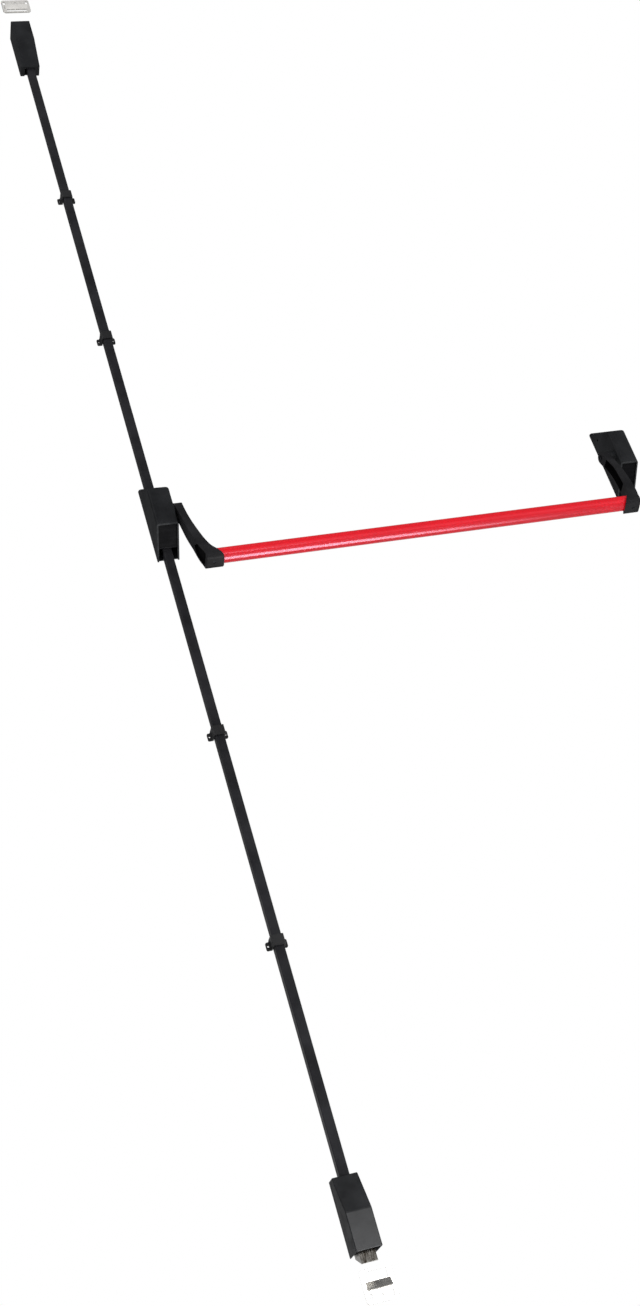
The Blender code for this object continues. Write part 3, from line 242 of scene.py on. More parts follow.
def metal(name, base, roughness, stretch, line, depth, tint=0.12, spots=0.0, anisotropic=0.0, front_shade=None):
    """Bare or plated metal with drawn, ground or turned lines; faces marked 'front' can get painted shade in streaks.
    """
    made, tree, shader, coords = blank(name)
    lines = noise(tree, coords, line, 4, stretch, 0.6)
    clouds = noise(tree, coords, 12 * MM, 4)
    dark = tuple(c * (1 - tint) for c in base)
    body = mix(tree, ramp(tree, clouds, 0.3, 0.7), rgba(dark), rgba(base))
    if spots:
        stain = ramp(tree, noise(tree, coords, 4 * MM, 6, rough=0.7), 0.56, 0.74, 0, spots)
        body = mix(tree, stain, body, rgba(tuple(c * 0.55 for c in base)))
    # Painted shade: faces marked 'front' are darkened in streaks.
    if front_shade:
        streaks = ramp(tree, noise(tree, coords, 3 * MM, 4, (1.2, 1, 0.25)), 0.35, 0.65, 0.55, 1.0)
        front = node(tree, "ShaderNodeAttribute", attribute_name="front").outputs["Fac"]
        body = mix(tree, math_node(tree, "MULTIPLY", front, streaks), body, rgba(front_shade))
    tree.links.new(body, shader.inputs["Base Color"])
    shader.inputs["Metallic"].default_value = 1.0
    shader.inputs["Anisotropic"].default_value = anisotropic
    gloss = ramp(tree, lines, 0.3, 0.7, roughness - 0.07, roughness + 0.09)
    tree.links.new(gloss, shader.inputs["Roughness"])
    bump(tree, shader, lines, depth)
    return made


def enamel(name, base):
    """Glossy enamel with a faint orange peel."""
    made, tree, shader, coords = blank(name)
    clouds = noise(tree, coords, 60 * MM, 3, (0.4, 1, 1))
    deep = tuple(c * 0.9 for c in base)
    body = mix(tree, ramp(tree, clouds, 0.3, 0.7), rgba(deep), rgba(base))
    scuffs = ramp(tree, noise(tree, coords, 2 * MM, 5, (0.12, 1, 1), 0.7), 0.62, 0.8, 0, 0.12)
    body = mix(tree, scuffs, body, rgba(tuple(min(1, c * 1.1 + 0.02) for c in base)))
    tree.links.new(body, shader.inputs["Base Color"])
    gloss = ramp(tree, noise(tree, coords, 8 * MM, 4, (0.2, 1, 1)), 0.3, 0.7, 0.2, 0.24)
    tree.links.new(gloss, shader.inputs["Roughness"])
    shader.inputs["IOR"].default_value = 1.5
    shader.inputs["Specular Tint"].default_value = (1, 0.78, 1, 1)
    bump(tree, shader, noise(tree, coords, 6 * MM, 2), 0.01 * MM)
    return made


def make_materials():
    """The device's materials by the record's slot, with two more for the shields and the bolts."""
    c = colours()
    # Lighter grey of bare metal on worn edges, also used as the painted highlight on the covers' rims.
    bare_and_highlight = linear("#6A6C70")
    # Colour of the painted shade on the bolts' front faces.
    front_shade_colour = linear("#28231D")
    return {
        # Powder coat on the shields: nearly black and with little gloss, with faint lighter bands across it that are
        # painted reflections.
        "shield": painted("near_black_powder_coat", linear("#09090C"), 0.45, 0.45 * MM, 0.03 * MM, 0.02, bare_and_highlight,
                          None, 0.3),
        # Powder coat on folded sheet: satin, even, with a fine orange peel.
        "cover_paint": painted("satin_black_powder_coat", c.powder, 0.52, 0.45 * MM, 0.035 * MM, 0.06, bare_and_highlight),
        # Paint on drawn tube: a little glossier. The draw lines are 0.5 mm apart, coarser than real ones, to show.
        "rod_paint": painted("black_painted_steel_tube", c.rod, 0.45, 0.35 * MM, 0.02 * MM, 0.09, bare_and_highlight, (8, 8, 0.05)),
        # Paint on a casting: coarser grain, soft sheen.
        "arm_paint": painted("black_painted_casting", c.casting, 0.5, 0.6 * MM, 0.05 * MM, 0.07, bare_and_highlight),
        # Stoved enamel on tube: deep red with one crisp streak of light.
        "bar_red": enamel("red_enamel", c.red),
        # Nickel plate worn by its strike: grey, with painted shade in streaks on its front faces.
        "bolt": metal("worn_nickel_plate", c.bolt, 0.36, (0.15, 1, 1), 0.6 * MM, 0.002 * MM, 0.2, 0.35,
                      front_shade=front_shade_colour),
        # Moulded nylon: dull black with a waxy sheen.
        "nylon": painted("moulded_black_nylon", c.nylon, 0.5, 0.3 * MM, 0.03 * MM, 0.3, linear("#2C2C30")),
        # Nickel plate on stamped steel: bright and slightly warm. Its lines are coarser than real ones, to show.
        "nickel": metal("nickel_plate", c.nickel, 0.26, (0.15, 1, 1), 0.6 * MM, 0.002 * MM, 0.14, 0.25),
        # Zinc passivated black: dark, cloudy and dull.
        "black_zinc": metal("black_passivated_zinc", c.chassis, 0.45, (1, 1, 1), 0.5 * MM, 0.01 * MM, 0.3),
        # Zinc plate on stamped steel: pale, slightly blue.
        "zinc": metal("bright_zinc_plate", c.zinc, 0.32, (1, 1, 0.1), 0.3 * MM, 0.006 * MM, 0.16, 0.2),
        # Turned steel: fine rings that stretch the highlight.
        "steel": metal("turned_steel", c.steel, 0.26, (1, 0.1, 0.1), 0.18 * MM, 0.006 * MM, 0.1, 0, 0.3),
        # Drawn spring wire: smooth grey.
        "spring": metal("spring_steel", c.spring, 0.35, (1, 1, 1), 0.3 * MM, 0.004 * MM, 0.2),
        # Black oxide on steel: dark with a faint shine.
        "dark_screw": metal("black_oxide_steel", c.oxide, 0.38, (1, 1, 1), 0.25 * MM, 0.006 * MM, 0.3),
    }


# Mesh helpers
def to_world(axis, u, v, along):
    """A point (u, v) of an outline on the plane across the axis."""
    return {"X": Vector((along, u, v)), "Y": Vector((u, along, v)), "Z": Vector((u, v, along))}[axis]


def prism(outline, axis, low, high, holes=()):
    """Extrudes an outline with holes; outlines are (y, z), (x, z) or (x, y) pairs."""
    body = bmesh.new()
    loops = [list(outline)] + [list(hole) for hole in holes]
    ends = [[[body.verts.new(to_world(axis, u, v, along)) for u, v in loop] for loop in loops]
            for along in (low, high)]
    if holes:
        flat = [[Vector((u, v, 0)) for u, v in loop] for loop in loops]
        triangles = geometry.tessellate_polygon(flat)
        for end in ends:
            verts = [vert for loop in end for vert in loop]
            for a, b, c in triangles:
                body.faces.new((verts[a], verts[b], verts[c]))
    else:
        for end in ends:
            body.faces.new(end[0])
    for near, far in zip(*ends):
        for i, vert in enumerate(near):
            j = (i + 1) % len(near)
            body.faces.new((vert, near[j], far[j], far[i]))
    bmesh.ops.recalc_face_normals(body, faces=body.faces)
    return body


def circle(u, v, radius, sides=0):
    sides = sides or sizes().segments
    return [(u + radius * math.cos(math.tau * k / sides), v + radius * math.sin(math.tau * k / sides))
            for k in range(sides)]


def rectangle(u0, u1, v0, v1):
    return [(u0, v0), (u1, v0), (u1, v1), (u0, v1)]


def rounded(points, radii, steps=8):
    """Rounds the corners of a polygon; a radius of 0 keeps the corner."""
    out = []
    for i, (corner, radius) in enumerate(zip(points, radii)):
        here = Vector(corner)
        if radius <= 0:
            out.append((here.x, here.y))
            continue
        to_prev = (Vector(points[i - 1]) - here).normalized()
        to_next = (Vector(points[(i + 1) % len(points)]) - here).normalized()
        half = math.acos(max(-1.0, min(1.0, to_prev.dot(to_next)))) / 2
        centre = here + (to_prev + to_next).normalized() * (radius / math.sin(half))
        first = here + to_prev * (radius / math.tan(half)) - centre
        last = here + to_next * (radius / math.tan(half)) - centre
        turn = first.angle_signed(last)
        for k in range(steps + 1):
            spoke = Matrix.Rotation(-turn * k / steps, 2) @ first
            out.append((centre.x + spoke.x, centre.y + spoke.y))
    return out


def cylinder(axis, u, v, radius, low, high, sides=0):
    return prism(circle(u, v, radius, sides), axis, low, high)


def cut_plane(body, point, normal):
    """Removes what lies on the normal's side of a plane and closes the cut."""
    made = bmesh.ops.bisect_plane(body, geom=body.verts[:] + body.edges[:] + body.faces[:], plane_co=point,
                                  plane_no=normal, clear_outer=True, dist=1e-7)
    edges = [e for e in made["geom_cut"] if isinstance(e, bmesh.types.BMEdge)]
    bmesh.ops.holes_fill(body, edges=edges, sides=0)
    bmesh.ops.recalc_face_normals(body, faces=body.faces)
    return body


def mesh_of(body, name="work"):
    mesh = bpy.data.meshes.new(name)
    body.to_mesh(mesh)
    body.free()
    return mesh


def combine(body, other, operation):
    """Exact Boolean of two closed bodies, which are both used up."""
    objects = []
    for part in (body, other):
        bmesh.ops.recalc_face_normals(part, faces=part.faces)
        objects.append(bpy.data.objects.new("work", mesh_of(part)))
        bpy.context.scene.collection.objects.link(objects[-1])
    cut = objects[0].modifiers.new("cut", "BOOLEAN")
    cut.solver, cut.operation, cut.object = "EXACT", operation, objects[1]
    mesh = bpy.data.meshes.new_from_object(objects[0].evaluated_get(bpy.context.evaluated_depsgraph_get()))
    out = bmesh.new()
    out.from_mesh(mesh)
    bmesh.ops.remove_doubles(out, verts=out.verts, dist=2e-6)
    bmesh.ops.dissolve_degenerate(out, edges=out.edges, dist=2e-6)
    for thing in objects:
        data = thing.data
        bpy.data.objects.remove(thing, do_unlink=True)
        bpy.data.meshes.remove(data)
    bpy.data.meshes.remove(mesh)
    if not out.faces:
        raise RuntimeError("a Boolean left nothing")
    return out


def less(body, *others):
    for other in others:
        body = combine(body, other, "DIFFERENCE")
    return body


def plus(body, *others):
    for other in others:
        body = combine(body, other, "UNION")
    return body


def both(body, *others):
    for other in others:
        body = combine(body, other, "INTERSECT")
    return body


def soften(body, width, angle=28, steps=3, picked=None):
    """Rounds the sharp edges and marks the new faces in the layer 'edge'."""
    bmesh.ops.dissolve_limit(body, angle_limit=math.radians(0.4), verts=body.verts, edges=body.edges,
                             delimit={"NORMAL"})
    layer = body.faces.layers.float.get("edge") or body.faces.layers.float.new("edge")
    edges = [e for e in body.edges if len(e.link_faces) == 2 and e.calc_face_angle(0) > math.radians(angle)
             and (picked is None or picked(e))]
    made = bmesh.ops.bevel(body, geom=edges, offset=width, segments=steps, profile=0.5, affect="EDGES",
                           clamp_overlap=True, loop_slide=True)
    for face in made["faces"]:
        face[layer] = 1.0
    return body


def mark(body, name, value, test):
    """Sets a face attribute on the faces whose centre and normal pass the test."""
    layer = body.faces.layers.float.get(name) or body.faces.layers.float.new(name)
    for face in body.faces:
        if test(face.calc_center_median(), face.normal):
            face[layer] = value
    return body


def piece(name, body, look, ride, slot, replaced, sharp=32):
    """Makes the finished object of a piece, riding on its body in place of its nodes."""
    bmesh.ops.recalc_face_normals(body, faces=body.faces)
    mesh = mesh_of(body, name)
    mesh.shade_smooth()
    mesh.set_sharp_from_angle(angle=math.radians(sharp))
    mesh.materials.append(look)
    made = bpy.data.objects.new(name, mesh)
    bpy.context.scene.collection.objects.link(made)
    smooth = made.modifiers.new("normals", "WEIGHTED_NORMAL")
    smooth.keep_sharp = True
    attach(made, ride)
    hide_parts(*replaced)
    return made


def mirror_x(body):
    """Mirrors a body to the other bar case."""
    about = 2 * sizes().mirror_x
    for vert in body.verts:
        vert.co.x = about - vert.co.x
    bmesh.ops.reverse_faces(body, faces=body.faces)
    return body


def mirror_z(body):
    for vert in body.verts:
        vert.co.z = -vert.co.z
    bmesh.ops.reverse_faces(body, faces=body.faces)
    return body


def shift(body, x=0.0, z=0.0):
    bmesh.ops.translate(body, verts=body.verts, vec=Vector((x, 0, z)))
    return body


# Bar cases
class Case:
    """Outline of a bar case, with the bar's side towards +X; its sizes are in millimetres, top_round in metres."""

    def __init__(self, left, right, top, front_top, front_low, low, top_round):
        depth = sizes().case_depth
        self.left, self.right, self.top, self.low = left * MM, right * MM, top * MM, low * MM
        self.top_round = top_round
        self.roof = (top - front_top) * MM / depth
        self.mitre = (front_low - low) * MM / depth

    def block(self, inset, back, drop, low):
        s = sizes()
        corner = s.case_corner - inset
        left, right, front = self.left + inset, self.right - inset, -s.case_depth + inset
        outline = rounded([(left, back), (left, front), (right, front), (right, back)], [0, corner, corner, 0], 10)
        body = prism(outline, "Z", low, self.top + 30 * MM)
        return cut_plane(body, Vector((0, 0, self.top - drop)), Vector((0, -self.roof, 1)).normalized())

    def arched(self):
        """Outer block whose roof is round over the side walls and over the front."""
        s = sizes()
        over = 0.05 * MM
        low = self.low - 60 * MM
        left, right, front, back = self.left - over, self.right + over, -s.case_depth - over, 5 * MM
        outline = rounded([(left, low), (right, low), (right, self.top), (left, self.top)],
                          [0, 0, self.top_round, self.top_round], 12)
        arch = prism(outline, "Y", -s.case_depth - 5 * MM, back)
        for vert in arch.verts:
            vert.co.z += self.roof * vert.co.y
        outline = rounded([(back, low), (front, low), (front, self.top + self.roof * front + over),
                           (back, self.top + self.roof * back + over)], [0, 0, s.case_brow, 0], 10)
        brow = prism(outline, "X", self.left - 5 * MM, self.right + 5 * MM)
        return both(self.block(0, 0, -2 * MM, self.low - 10 * MM), arch, brow)

    def cut_below(self, body, lift):
        return cut_plane(body, Vector((0, 0, self.low + lift)), Vector((0, -self.mitre, -1)).normalized())


def rod_case():
    return Case(left=-18.6, right=21.9, top=87.5, front_top=39, front_low=-40, low=-77,
                top_round=sizes().rod_case_round)


def end_case():
    return Case(left=-25.5, right=11.5, top=97, front_top=49, front_low=-28, low=-68,
                top_round=sizes().end_case_round)


def bar_cover(case, with_rods):
    """Cover of a bar case: open to the door and at its mitred end, boss on the bar's side."""
    s = sizes()
    outer = case.cut_below(case.arched(), 0)
    outer = plus(outer, cylinder("X", s.pivot_y, 0, s.boss_radius, case.right - 1 * MM, s.boss_end))
    inner = case.block(s.case_wall, 10 * MM, s.case_wall / math.cos(math.atan(case.roof)), case.low - 30 * MM)
    outer = less(outer, inner, cylinder("X", s.pivot_y, 0, s.axle_hole, 0, 60 * MM, 40),
                 cylinder("X", s.screw_y, s.screw_z, s.screw_hole, 0, 60 * MM, 32))
    if with_rods:
        gap = s.rod / 2 + 0.8 * MM
        outer = less(outer, prism(rectangle(-gap, gap, s.rod_y - gap, 10 * MM), "Z", 30 * MM, case.top + 40 * MM))
    mitre = Vector((0, -case.mitre, -1)).normalized()
    skin = 1 * MM

    def on_rim(at, normal):
        return abs((at - Vector((0, 0, case.low))).dot(mitre)) < 0.1 * MM and normal.dot(mitre) > 0.98

    def inside(at, normal):
        middle = Vector(((case.left + case.right) / 2, -s.case_depth / 2, 0))
        return (case.left + skin < at.x < case.right - skin and -s.case_depth + skin < at.y < -0.3 * MM
                and (at - Vector((0, 0, case.low))).dot(mitre) < -0.6 * MM and normal.dot(middle - at) > 0)

    # Faces inside the cover are marked 'deep', which paints shade on them.
    outer = mark(soften(outer, 0.45 * MM, 32, 3), "deep", 1.0, inside)
    # The mitred rim is marked as an edge, which paints a lighter rim: a painted highlight.
    return mark(outer, "edge", 0.55, on_rim)


# Latches
def latch_cover(long, thin, left, right):
    """Cover of a latch, its outer end at Z = 0: open to the door and at the bolt, notched at the rod."""
    s = sizes()
    depth, straight, wall = s.latch_depth, s.latch_straight, s.latch_wall
    outline = [(0, 0), (-depth, 0), (-depth, straight), (-thin, long), (0, long)]
    body = prism(outline, "X", left, right)

    def in_front(edge):
        return min(v.co.y for v in edge.verts) < -5 * MM and max(v.co.z for v in edge.verts) > 1 * MM

    body = soften(body, s.latch_edge, 8, 5, in_front)
    layer = body.faces.layers.float["edge"]
    for face in body.faces:
        face[layer] = 0.0
    slope = (depth - thin) / (long - straight)
    drop = wall * math.hypot(1, slope)
    top = long - wall
    inner = [(10 * MM, -20 * MM), (-depth + wall, -20 * MM), (-depth + wall, straight - (drop - wall) / slope),
             (-thin + drop - slope * wall, top), (10 * MM, top)]
    body = less(body, prism(inner, "X", left + wall, right - wall))
    gap = s.rod / 2 + 0.9 * MM
    body = less(body, prism(rectangle(-gap - 4 * MM, gap, s.rod_y - gap, 10 * MM), "Z", top - 5 * MM,
                            long + 10 * MM),
                cylinder("X", -9 * MM, 62 * MM, 2.4 * MM, 0, 60 * MM, 32))
    return soften(body, 0.4 * MM, 32, 3)


def strike(width, flange, ramp_height, window_width, window_height, spacing):
    """Bottom strike with its upper edge at Z = 0: window, ramp, then a flange with slots."""
    rim, thick, out = 3.2 * MM, 3 * MM, 8 * MM
    half, wide = width / 2, window_width / 2
    top, low = -rim - window_height, -(rim + window_height + ramp_height)
    height = flange - low
    outline = rounded(rectangle(-half, half, -height, 0), [5 * MM, 5 * MM, 6 * MM, 6 * MM], 10)
    window = rounded(rectangle(-wide, wide, top, -rim), [2.6 * MM] * 4, 8)
    middle = -height + flange / 2 - 0.2 * MM
    slots = [rounded(rectangle(x - 2.8 * MM, x + 2.8 * MM, middle - 5 * MM, middle + 5 * MM), [2.7 * MM] * 4, 8)
             for x in (-spacing / 2, spacing / 2)]
    body = prism(outline, "Y", -thick, 0, [window, circle(0, middle, 2.6 * MM, 36)] + slots)
    start = -thick + 0.6 * MM
    curve = [(start - (out + start) * (k / 20) ** 0.85, top + (low - top) * k / 20)
             for k in range(21)]
    raised = prism([(-1.0 * MM, top)] + curve + [(-1.0 * MM, low)], "X", -wide - 2 * MM, wide + 2 * MM)
    return soften(plus(body, raised), 0.5 * MM, 30, 3)


# Arms
def arm_geometry():
    """Functions that give the left arm's faces along its length."""
    s = sizes()
    stations = ((0.00, 0.0, 14.5), (0.33, 0.8, 13.5), (0.56, 2.2, 16.0), (0.79, 6.0, 18.0), (0.92, 9.5, 20.0),
                (1.00, 12.5, 24.5), (1.11, 14.5, 31.0))
    span = Vector((s.bar_y - s.pivot_y, s.bar_z))
    long, along = span.length, span.normalized()
    out = Vector((along.y, -along.x))

    def point(t, f):
        return Vector((s.pivot_y, 0)) + along * t + out * f

    def faces(t):
        share = max(stations[0][0], min(stations[-1][0], t / long))
        k = next(i for i in range(len(stations) - 1) if share <= stations[i + 1][0] + 1e-9)
        low, high = stations[k], stations[k + 1]
        before, after = stations[max(k - 1, 0)], stations[min(k + 2, len(stations) - 1)]
        gap = high[0] - low[0]
        u = (share - low[0]) / gap
        made = []
        for i in (1, 2):
            m0 = (high[i] - before[i]) / (high[0] - before[0]) * gap
            m1 = (after[i] - low[i]) / (after[0] - low[0]) * gap
            made.append((2 * u ** 3 - 3 * u ** 2 + 1) * low[i] + (u ** 3 - 2 * u ** 2 + u) * m0
                        + (3 * u ** 2 - 2 * u ** 3) * high[i] + (u ** 3 - u ** 2) * m1)
        return s.arm_x + made[0] * MM, s.arm_x + (made[0] + made[1]) * MM

    def ease(t):
        t = max(0.0, min(1.0, t))
        return t * t * (3 - 2 * t)

    def depths(t):
        if t < 0:
            cap = math.sqrt(max(0.0, s.arm_root ** 2 - t ** 2))
            return -cap, cap
        front = s.arm_root + (s.arm_front - s.arm_root) * ease(t / (60 * MM))
        back = s.arm_root + (s.arm_back - s.arm_root) * ease(t / (30 * MM))
        grow = ease((t - long + 45 * MM) / (45 * MM))
        front += (s.arm_end - s.arm_front) * grow
        back += (s.arm_end - s.arm_back) * grow
        over = t - (long + s.arm_end - s.arm_end_corner)
        if over > 0:
            cut = s.arm_end_corner - math.sqrt(max(0.0, s.arm_end_corner ** 2 - over ** 2))
            front, back = front - cut, back - cut
        return -back, front

    return long, point, faces, depths, along, out


def loft(rows):
    """Closed body through rows of four points."""
    body = bmesh.new()
    rings = [[body.verts.new(p) for p in row] for row in rows]
    for near, far in zip(rings, rings[1:]):
        for i in range(4):
            j = (i + 1) % 4
            body.faces.new((near[i], near[j], far[j], far[i]))
    body.faces.new(rings[0])
    body.faces.new(rings[-1])
    bmesh.ops.remove_doubles(body, verts=body.verts, dist=1e-6)
    bmesh.ops.recalc_face_normals(body, faces=body.faces)
    return body


def arm():
    """Left arm: smooth outer side with a pocket at the bar, long hollow on the bar's side."""
    s = sizes()
    long, point, faces, depths, along, out = arm_geometry()
    turn = long + s.arm_end - s.arm_end_corner
    steps = [-s.arm_root * math.cos(math.pi / 2 * k / 10) for k in range(1, 10)]
    steps += [turn * k / 56 for k in range(57)]
    steps += [turn + s.arm_end_corner * math.sin(math.pi / 2 * k / 9) for k in range(1, 10)]
    steps[0:0] = [-s.arm_root * 0.9985]

    def row(t, low, high, inset=0.0):
        back, front = depths(t)
        a, b = point(t, back + inset), point(t, front - inset)
        return [(low, a.x, a.y), (low, b.x, b.y), (high, b.x, b.y), (high, a.x, a.y)]

    body = loft([row(t, *faces(t)) for t in steps])
    edges = [e for e in body.edges if len(e.link_faces) == 2 and e.calc_face_angle(0) > math.radians(55)]
    bmesh.ops.bevel(body, geom=edges, offset=s.arm_edge, segments=5, profile=0.5, affect="EDGES",
                    clamp_overlap=True)
    outer_end, inner_end = faces(long)
    floor = outer_end + 5 * MM
    body = less(body, cylinder("X", s.bar_y, s.bar_z, s.bar_radius + 0.3 * MM, floor, inner_end + 30 * MM))
    first, last, wall = long - 34 * MM, long + 8 * MM, 2.6 * MM
    rows = []
    for k in range(15):
        t = first + (last - first) * k / 14
        inset = wall
        back, front = depths(t)
        if k < 3:
            inset = (front - back) / 2 - (1.5 + 3.2 * k) * MM
        rows.append(row(t, s.arm_x - 5 * MM, min(floor - 2 * MM, faces(t)[0] + 4 * MM), max(inset, wall)))
    body = less(body, loft(rows))
    web, rim, past = 2.8 * MM, 2.4 * MM, 120 * MM
    hollow = [(20 + 88 * k / 28) * MM for k in range(29)]
    body = less(body, loft([row(t, faces(t)[0] + web, past, rim) for t in hollow]))
    seat = sum(faces(0.0)[1:]) - 0.6 * MM
    half, screw, head, grub, sides = 4.3 * MM, 2.4 * MM, 5.0 * MM, 2.7 * MM, 28
    body = less(body, prism(rectangle(s.pivot_y - half, s.pivot_y + half, -half, half), "X", 0, s.arm_x + 5 * MM),
                cylinder("X", s.pivot_y, 0, screw, 0, 60 * MM, sides),
                cylinder("X", s.pivot_y, 0, head, seat, 60 * MM, 40))
    start = point(long, 0)
    hole = bmesh.new()
    rings = []
    for reach in (s.bar_radius - 1 * MM, s.arm_end + 4 * MM):
        centre = start + along * reach
        rings.append([hole.verts.new((inner_end - 9 * MM + grub * math.cos(math.tau * k / sides),
                                      centre.x + out.x * grub * math.sin(math.tau * k / sides),
                                      centre.y + out.y * grub * math.sin(math.tau * k / sides)))
                      for k in range(sides)])
    for k in range(sides):
        j = (k + 1) % sides
        hole.faces.new((rings[0][k], rings[0][j], rings[1][j], rings[1][k]))
    for ring in rings:
        hole.faces.new(ring)

    def inside(at, normal):
        place = Vector((at.y - s.pivot_y, at.z))
        t, f = place.dot(along), place.dot(out)
        low, high = faces(t)
        back, front = depths(t)
        across, deep = 0.9 * MM, 1.3 * MM
        return low + across < at.x < high - across and back + deep < f < front - deep and t < turn + 6 * MM

    # Faces inside the pocket and the hollow are marked 'deep', which paints shade in them.
    return mark(soften(less(body, hole), 0.4 * MM, 38, 2), "deep", 1.0, inside)


# Pieces that come from their nodes
def refined(name, width, angle=30, steps=2):
    """Welded copy of a node's mesh with its edges rounded."""
    body = bmesh.new()
    body.from_mesh(frame["nodes"][name].data)
    bmesh.ops.remove_doubles(body, verts=body.verts, dist=2e-6)
    bmesh.ops.dissolve_degenerate(body, edges=body.edges, dist=2e-6)
    return soften(body, width, angle, steps) if width else body


def record_slots():
    return {part["node"]: part["material_slot"] for part in frame["record"]["subparts"]}


def body_names():
    return {name: body for body, names in frame["record"]["behaviour"]["bodies"].items() for name in names}


def dress(name, body, looks, sharp=32):
    """Finished piece that stands for one node, in the node's slot and on its body."""
    slot = record_slots()[name]
    return piece("fine_" + name, body, looks[slot], body_names()[name], slot, [name], sharp)


# Geometry Nodes
def socket(group, name, kind, value=None):
    made = group.interface.new_socket(name=name, in_out="INPUT", socket_type=kind)
    if value is not None:
        made.default_value = value
    return made.identifier


def row_group():
    """Node group: copies of a model at the heights of a point mesh."""
    group = bpy.data.node_groups.new("row_of_guides", "GeometryNodeTree")
    ids = {name: socket(group, name, kind) for name, kind in (
        ("Places", "NodeSocketGeometry"), ("Model", "NodeSocketObject"), ("Seed", "NodeSocketInt"),
        ("Sway", "NodeSocketFloat"), ("Material", "NodeSocketMaterial"))}
    group.interface.new_socket(name="Geometry", in_out="OUTPUT", socket_type="NodeSocketGeometry")
    start = node(group, "NodeGroupInput").outputs
    model = node(group, "GeometryNodeObjectInfo", {"Object": start["Model"]})
    low = node(group, "ShaderNodeMath", {0: start["Sway"], 1: -1.0}, operation="MULTIPLY").outputs[0]
    sway = node(group, "FunctionNodeRandomValue", {"Seed": start["Seed"]}, data_type="FLOAT")
    group.links.new(low, sway.inputs[2])
    group.links.new(start["Sway"], sway.inputs[3])
    offset = node(group, "ShaderNodeCombineXYZ", {"X": 0.0, "Y": 0.0, "Z": sway.outputs[1]})
    copies = node(group, "GeometryNodeInstanceOnPoints", {"Points": start["Places"],
                                                         "Instance": model.outputs["Geometry"]})
    moved = node(group, "GeometryNodeTranslateInstances", {"Instances": copies.outputs[0],
                                                          "Translation": offset.outputs[0]})
    real = node(group, "GeometryNodeRealizeInstances", {"Geometry": moved.outputs[0]})
    coated = node(group, "GeometryNodeSetMaterial", {"Geometry": real.outputs[0], "Material": start["Material"]})
    end = node(group, "NodeGroupOutput")
    group.links.new(coated.outputs[0], end.inputs[0])
    return group, ids


def evaluated(base, group, ids, values):
    """Runs a node group on a mesh and returns the plain result as a bmesh."""
    holder = bpy.data.objects.new("work", base)
    bpy.context.scene.collection.objects.link(holder)
    run = holder.modifiers.new("nodes", "NODES")
    run.node_group = group
    for name, value in values.items():
        run[ids[name]] = value
    bpy.context.view_layer.update()
    mesh = bpy.data.meshes.new_from_object(holder.evaluated_get(bpy.context.evaluated_depsgraph_get()))
    out = bmesh.new()
    out.from_mesh(mesh)
    bpy.data.objects.remove(holder, do_unlink=True)
    bpy.data.meshes.remove(mesh)
    if not out.faces:
        raise RuntimeError(f"{group.name} made nothing")
    return out


def guide_model():
    """One rod guide at height 0: a moulded saddle over the rod with a screw tab on each side."""
    s = sizes()
    half = s.rod / 2 + 0.4 * MM
    outer, front = half + 2.4 * MM, s.rod_y - s.rod / 2 - 0.4 * MM
    low, high, shoulder = -7 * MM, 7 * MM, 4 * MM
    outline = rounded([(-outer, 0), (-outer, front - 2.4 * MM), (outer, front - 2.4 * MM), (outer, 0), (half, 0),
                       (half, front), (-half, front), (-half, 0)],
                      [0, 2.0 * MM, 2.0 * MM, 0, 0, 0.4 * MM, 0.4 * MM, 0], 6)
    body = prism(outline, "Z", low, high + shoulder)
    for side in (-1, 1):
        root, edge = side * (outer - 1 * MM), side * s.guide_width / 2
        corners = [(root, low), (edge, low), (edge, high), (side * (outer + 2.2 * MM), high),
                   (root, high + shoulder)]
        tab = prism(rounded(corners, [0, 2.4 * MM, 2.4 * MM, 0, 0], 8), "Y", -3 * MM, 0,
                    [circle(side * (s.guide_width / 2 - 3.6 * MM), 0, 1.7 * MM, 28)])
        body = plus(body, tab)
    return soften(body, 0.5 * MM, 35, 3)


# Operators
class DeviceOperator:
    bl_options = {"REGISTER", "UNDO"}
    looks = {}


class DEVICE_OT_covers(DeviceOperator, bpy.types.Operator):
    """Build the covers of the two bar cases"""
    bl_idname = "device.covers"
    bl_label = "Bar case covers"

    def execute(self, context):
        looks = DeviceOperator.looks
        dress("centre_cover", bar_cover(rod_case(), True), looks)
        dress("end_cover", mirror_x(bar_cover(end_case(), False)), looks)
        for name in ("centre_shield", "end_shield"):
            dress(name, refined(name, 0.3 * MM), {"cover_paint": looks["shield"]})
        return {"FINISHED"}


class DEVICE_OT_latches(DeviceOperator, bpy.types.Operator):
    """Build the latch covers and the two bolts"""
    bl_idname = "device.latches"
    bl_label = "Latch covers and bolts"

    def execute(self, context):
        looks = DeviceOperator.looks
        for name, long, thin, flip in (("bottom_latch_cover", 113, 22.5, False), ("top_latch_cover", 121, 26, True)):
            low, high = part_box(name)
            body = latch_cover(long * MM, thin * MM, low.x, high.x)
            body = shift(mirror_z(body), z=high.z) if flip else shift(body, z=low.z)
            dress(name, body, looks)
        for name in ("top_bolt", "bottom_bolt"):
            # Faces that look to the front are marked 'front', where the bolts' material paints shade.
            body = mark(refined(name, 0.6 * MM, 35, 4), "front", 1.0, lambda at, normal: normal.y < -0.9)
            dress(name, body, {"nickel": looks["bolt"]})
        return {"FINISHED"}


class DEVICE_OT_rods(DeviceOperator, bpy.types.Operator):
    """Build the two square rods"""
    bl_idname = "device.rods"
    bl_label = "Rods"

    def execute(self, context):
        s = sizes()
        for name in ("upper_rod", "lower_rod"):
            low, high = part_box(name)
            half = s.rod / 2
            inside = half - s.rod_wall
            y = (low.y + high.y) / 2
            outline = rounded(rectangle(-half, half, y - half, y + half), [s.rod_corner] * 4, 6)
            hollow = rounded(rectangle(-inside, inside, y - inside, y + inside), [0.5 * MM] * 4, 3)
            body = prism(outline, "Z", low.z, high.z, [hollow])
            dress(name, body, DeviceOperator.looks)
        return {"FINISHED"}


